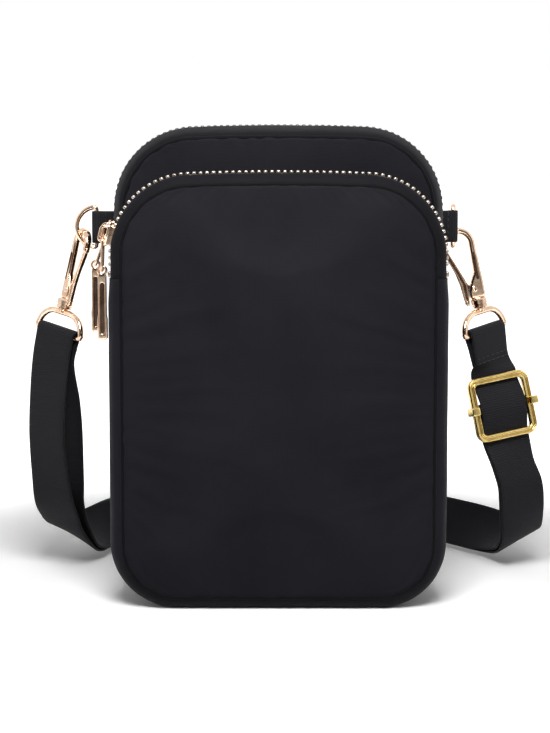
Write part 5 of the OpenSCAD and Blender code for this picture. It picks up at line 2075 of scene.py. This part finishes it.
@dataclass
class Studio:
    """Pale floor, plain soft light and the camera."""

    floor_colour: tuple = (0.34, 0.34, 0.34)
    floor_white: float = 1.1
    floor_half: float = 6.0
    glow: tuple = (0.17, 0.34)
    fade: tuple = (-0.5, -0.15)
    gloss: tuple = (-0.93, -0.35)
    world_level: float = 0.3
    front_level: float = 0.06
    lens: float = 98.45
    eye: tuple = (-1.35 * MM, -802.54 * MM, 190.995 * MM)
    target: tuple = (-1.35 * MM, -8.5 * MM, 93.5 * MM)

    def build(self) -> None:
        """Makes the camera, the floor, the world and the lamps."""
        self._camera()
        self._floor()
        self._world()
        self._lamp("key", (0.0, -0.38, 0.48), (0.0, 0.0, 0.12), 0.24, 3.6)
        self._lamp("left", (-0.9, -0.3, 0.5), (0.0, 0.0, 0.1), 0.5, 0.6)
        self._lamp("right", (0.9, -0.3, 0.5), (0.0, 0.0, 0.1), 0.5, 0.6)
        self._lamp("back", (0.0, 0.9, 0.6), (0.0, 0.0, 0.1), 0.6, 0.8)
        bpy.context.scene.view_settings.view_transform = "Standard"

    @staticmethod
    def _aimed(obj: Piece, place: Sequence[float], aim: Sequence[float]) -> Piece:
        """Puts a camera or a lamp in the scene, facing a point."""
        bpy.context.scene.collection.objects.link(obj)
        obj.location = place
        obj.rotation_euler = (Vector(aim) - Vector(place)).to_track_quat("-Z", "Y").to_euler()
        return obj

    def _camera(self) -> None:
        """Sets the camera at the photograph's angle."""
        data = bpy.data.cameras.new("view")
        data.sensor_fit = "AUTO"
        data.sensor_width = 36.0
        data.lens = self.lens
        data.clip_start, data.clip_end = 0.05, 20.0
        bpy.context.scene.camera = self._aimed(bpy.data.objects.new("view", data), self.eye, self.target)

    @staticmethod
    def _pale_for_view(book: NodeBook) -> tuple[Socket, Socket]:
        """1 for rays from the camera, from gloss and through glass, and 1 for the camera's alone."""
        path = book.add("ShaderNodeLightPath")
        camera = path.outputs["Is Camera Ray"]
        seen = book.maths("MAXIMUM", camera, path.outputs["Is Glossy Ray"])
        return book.maths("MAXIMUM", seen, path.outputs["Is Transmission Ray"]), camera

    def _floor(self) -> None:
        """Lays a wide pale floor that keeps the pouch's shadow."""
        mesh = bpy.data.meshes.new("floor")
        size = self.floor_half
        mesh.from_pydata([(-size, -size, 0), (size, -size, 0), (size, size, 0), (-size, size, 0)], [],
                         [(0, 1, 2, 3)])
        floor = new_mesh_object("floor", mesh)
        book = MaterialBook("pale_floor")
        seen, camera = self._pale_for_view(book)
        raised = book.add("ShaderNodeVectorMath", operation="SCALE",
                          Scale=book.spread(seen, 1.0, self.floor_white))
        book.feed(raised.inputs[0], book.ramp(seen, [(0.0, self.floor_colour), (1.0, (1.0, 1.0, 1.0))]))
        paint = book.add("ShaderNodeBsdfDiffuse", Color=raised.outputs[0])
        place = book.add("ShaderNodeTexCoord").outputs["Object"]
        far = book.add("ShaderNodeVectorMath", operation="LENGTH")
        book.feed(far.inputs[0], place)
        rise = book.add("ShaderNodeMapRange", interpolation_type="SMOOTHSTEP", From_Min=self.glow[0],
                        From_Max=self.glow[1], Value=far.outputs["Value"])
        ahead = book.add("ShaderNodeSeparateXYZ", Vector=place)
        fade = book.add("ShaderNodeMapRange", From_Min=self.fade[0], From_Max=self.fade[1],
                        To_Min=self.front_level, Value=ahead.outputs["Y"])
        shown = book.maths("MULTIPLY", seen, book.maths("MAXIMUM", fade.outputs["Result"], camera))
        glow = book.add("ShaderNodeEmission", Color=(1.0, 1.0, 1.0, 1.0),
                        Strength=book.maths("MULTIPLY", shown, rise.outputs["Result"]))
        total = book.add("ShaderNodeAddShader")
        book.feed(total.inputs[0], paint.outputs[0])
        book.feed(total.inputs[1], glow.outputs[0])
        mesh.materials.append(book.finish(total))

    def _world(self) -> None:
        """Fills the surroundings with even light that looks white."""
        world = bpy.data.worlds.new("studio")
        world.use_nodes = True
        bpy.context.scene.world = world
        book = NodeBook(world.node_tree)
        seen, camera = self._pale_for_view(book)
        ways = book.add("ShaderNodeSeparateXYZ", Vector=book.add("ShaderNodeTexCoord").outputs["Generated"])
        gloss = book.add("ShaderNodeMapRange", From_Min=self.gloss[0], From_Max=self.gloss[1],
                         To_Min=self.front_level, Value=ways.outputs["Y"])
        white = book.maths("MAXIMUM", gloss.outputs["Result"], camera)
        back = book.add("ShaderNodeBackground", Color=(1.0, 1.0, 1.0, 1.0),
                        Strength=book.spread(seen, self.world_level, white))
        book.add("ShaderNodeOutputWorld", Surface=back.outputs[0])

    def _lamp(self, name: str, place: Sequence[float], aim: Sequence[float], size: float,
              power: float) -> None:
        """Hangs one square soft lamp.

        Args:
            name: The lamp's name.
            place: Where it hangs, in metres.
            aim: The point it faces.
            size: Its side.
            power: Its power in watts.
        """
        data = bpy.data.lights.new(name, "AREA")
        data.shape = "SQUARE"
        data.size = size
        data.energy = power
        self._aimed(bpy.data.objects.new(name, data), place, aim)


def main() -> None:
    """Builds the whole scene in order."""
    logging.basicConfig(level=logging.INFO, format="%(name)s %(message)s", stream=sys.stdout)
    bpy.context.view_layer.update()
    Studio().build()
    finishes = Finishes()
    left = Clasp(Side.LEFT, 0.0, 0.0, 48.0, 12.9, 118.0, -38.0, finishes)
    right = Clasp(Side.RIGHT, 35.0, 45.0, 56.0, -12.0, 0.0, 42.0, finishes)
    adjuster = Adjuster(finishes)
    Strap(left, right, adjuster, finishes).build()
    left.build()
    right.build()
    adjuster.build()
    ZipLook("front", FRONT, DEPTHS.front_zip, front_slider_place(13.5), math.radians(2), finishes,
            finishes.tooth).build()
    # The main zip's teeth and stops take the dark copy of the tooth plating: painted shade and dark reflection.
    ZipLook("main", MAIN, DEPTHS.main_zip, main_slider_place(147 * MM), math.radians(20), finishes,
            finishes.painted_shade_tooth, 0.65 * MM).build()
    PouchCloth(finishes).build()


if __name__ == "__main__":
    main()
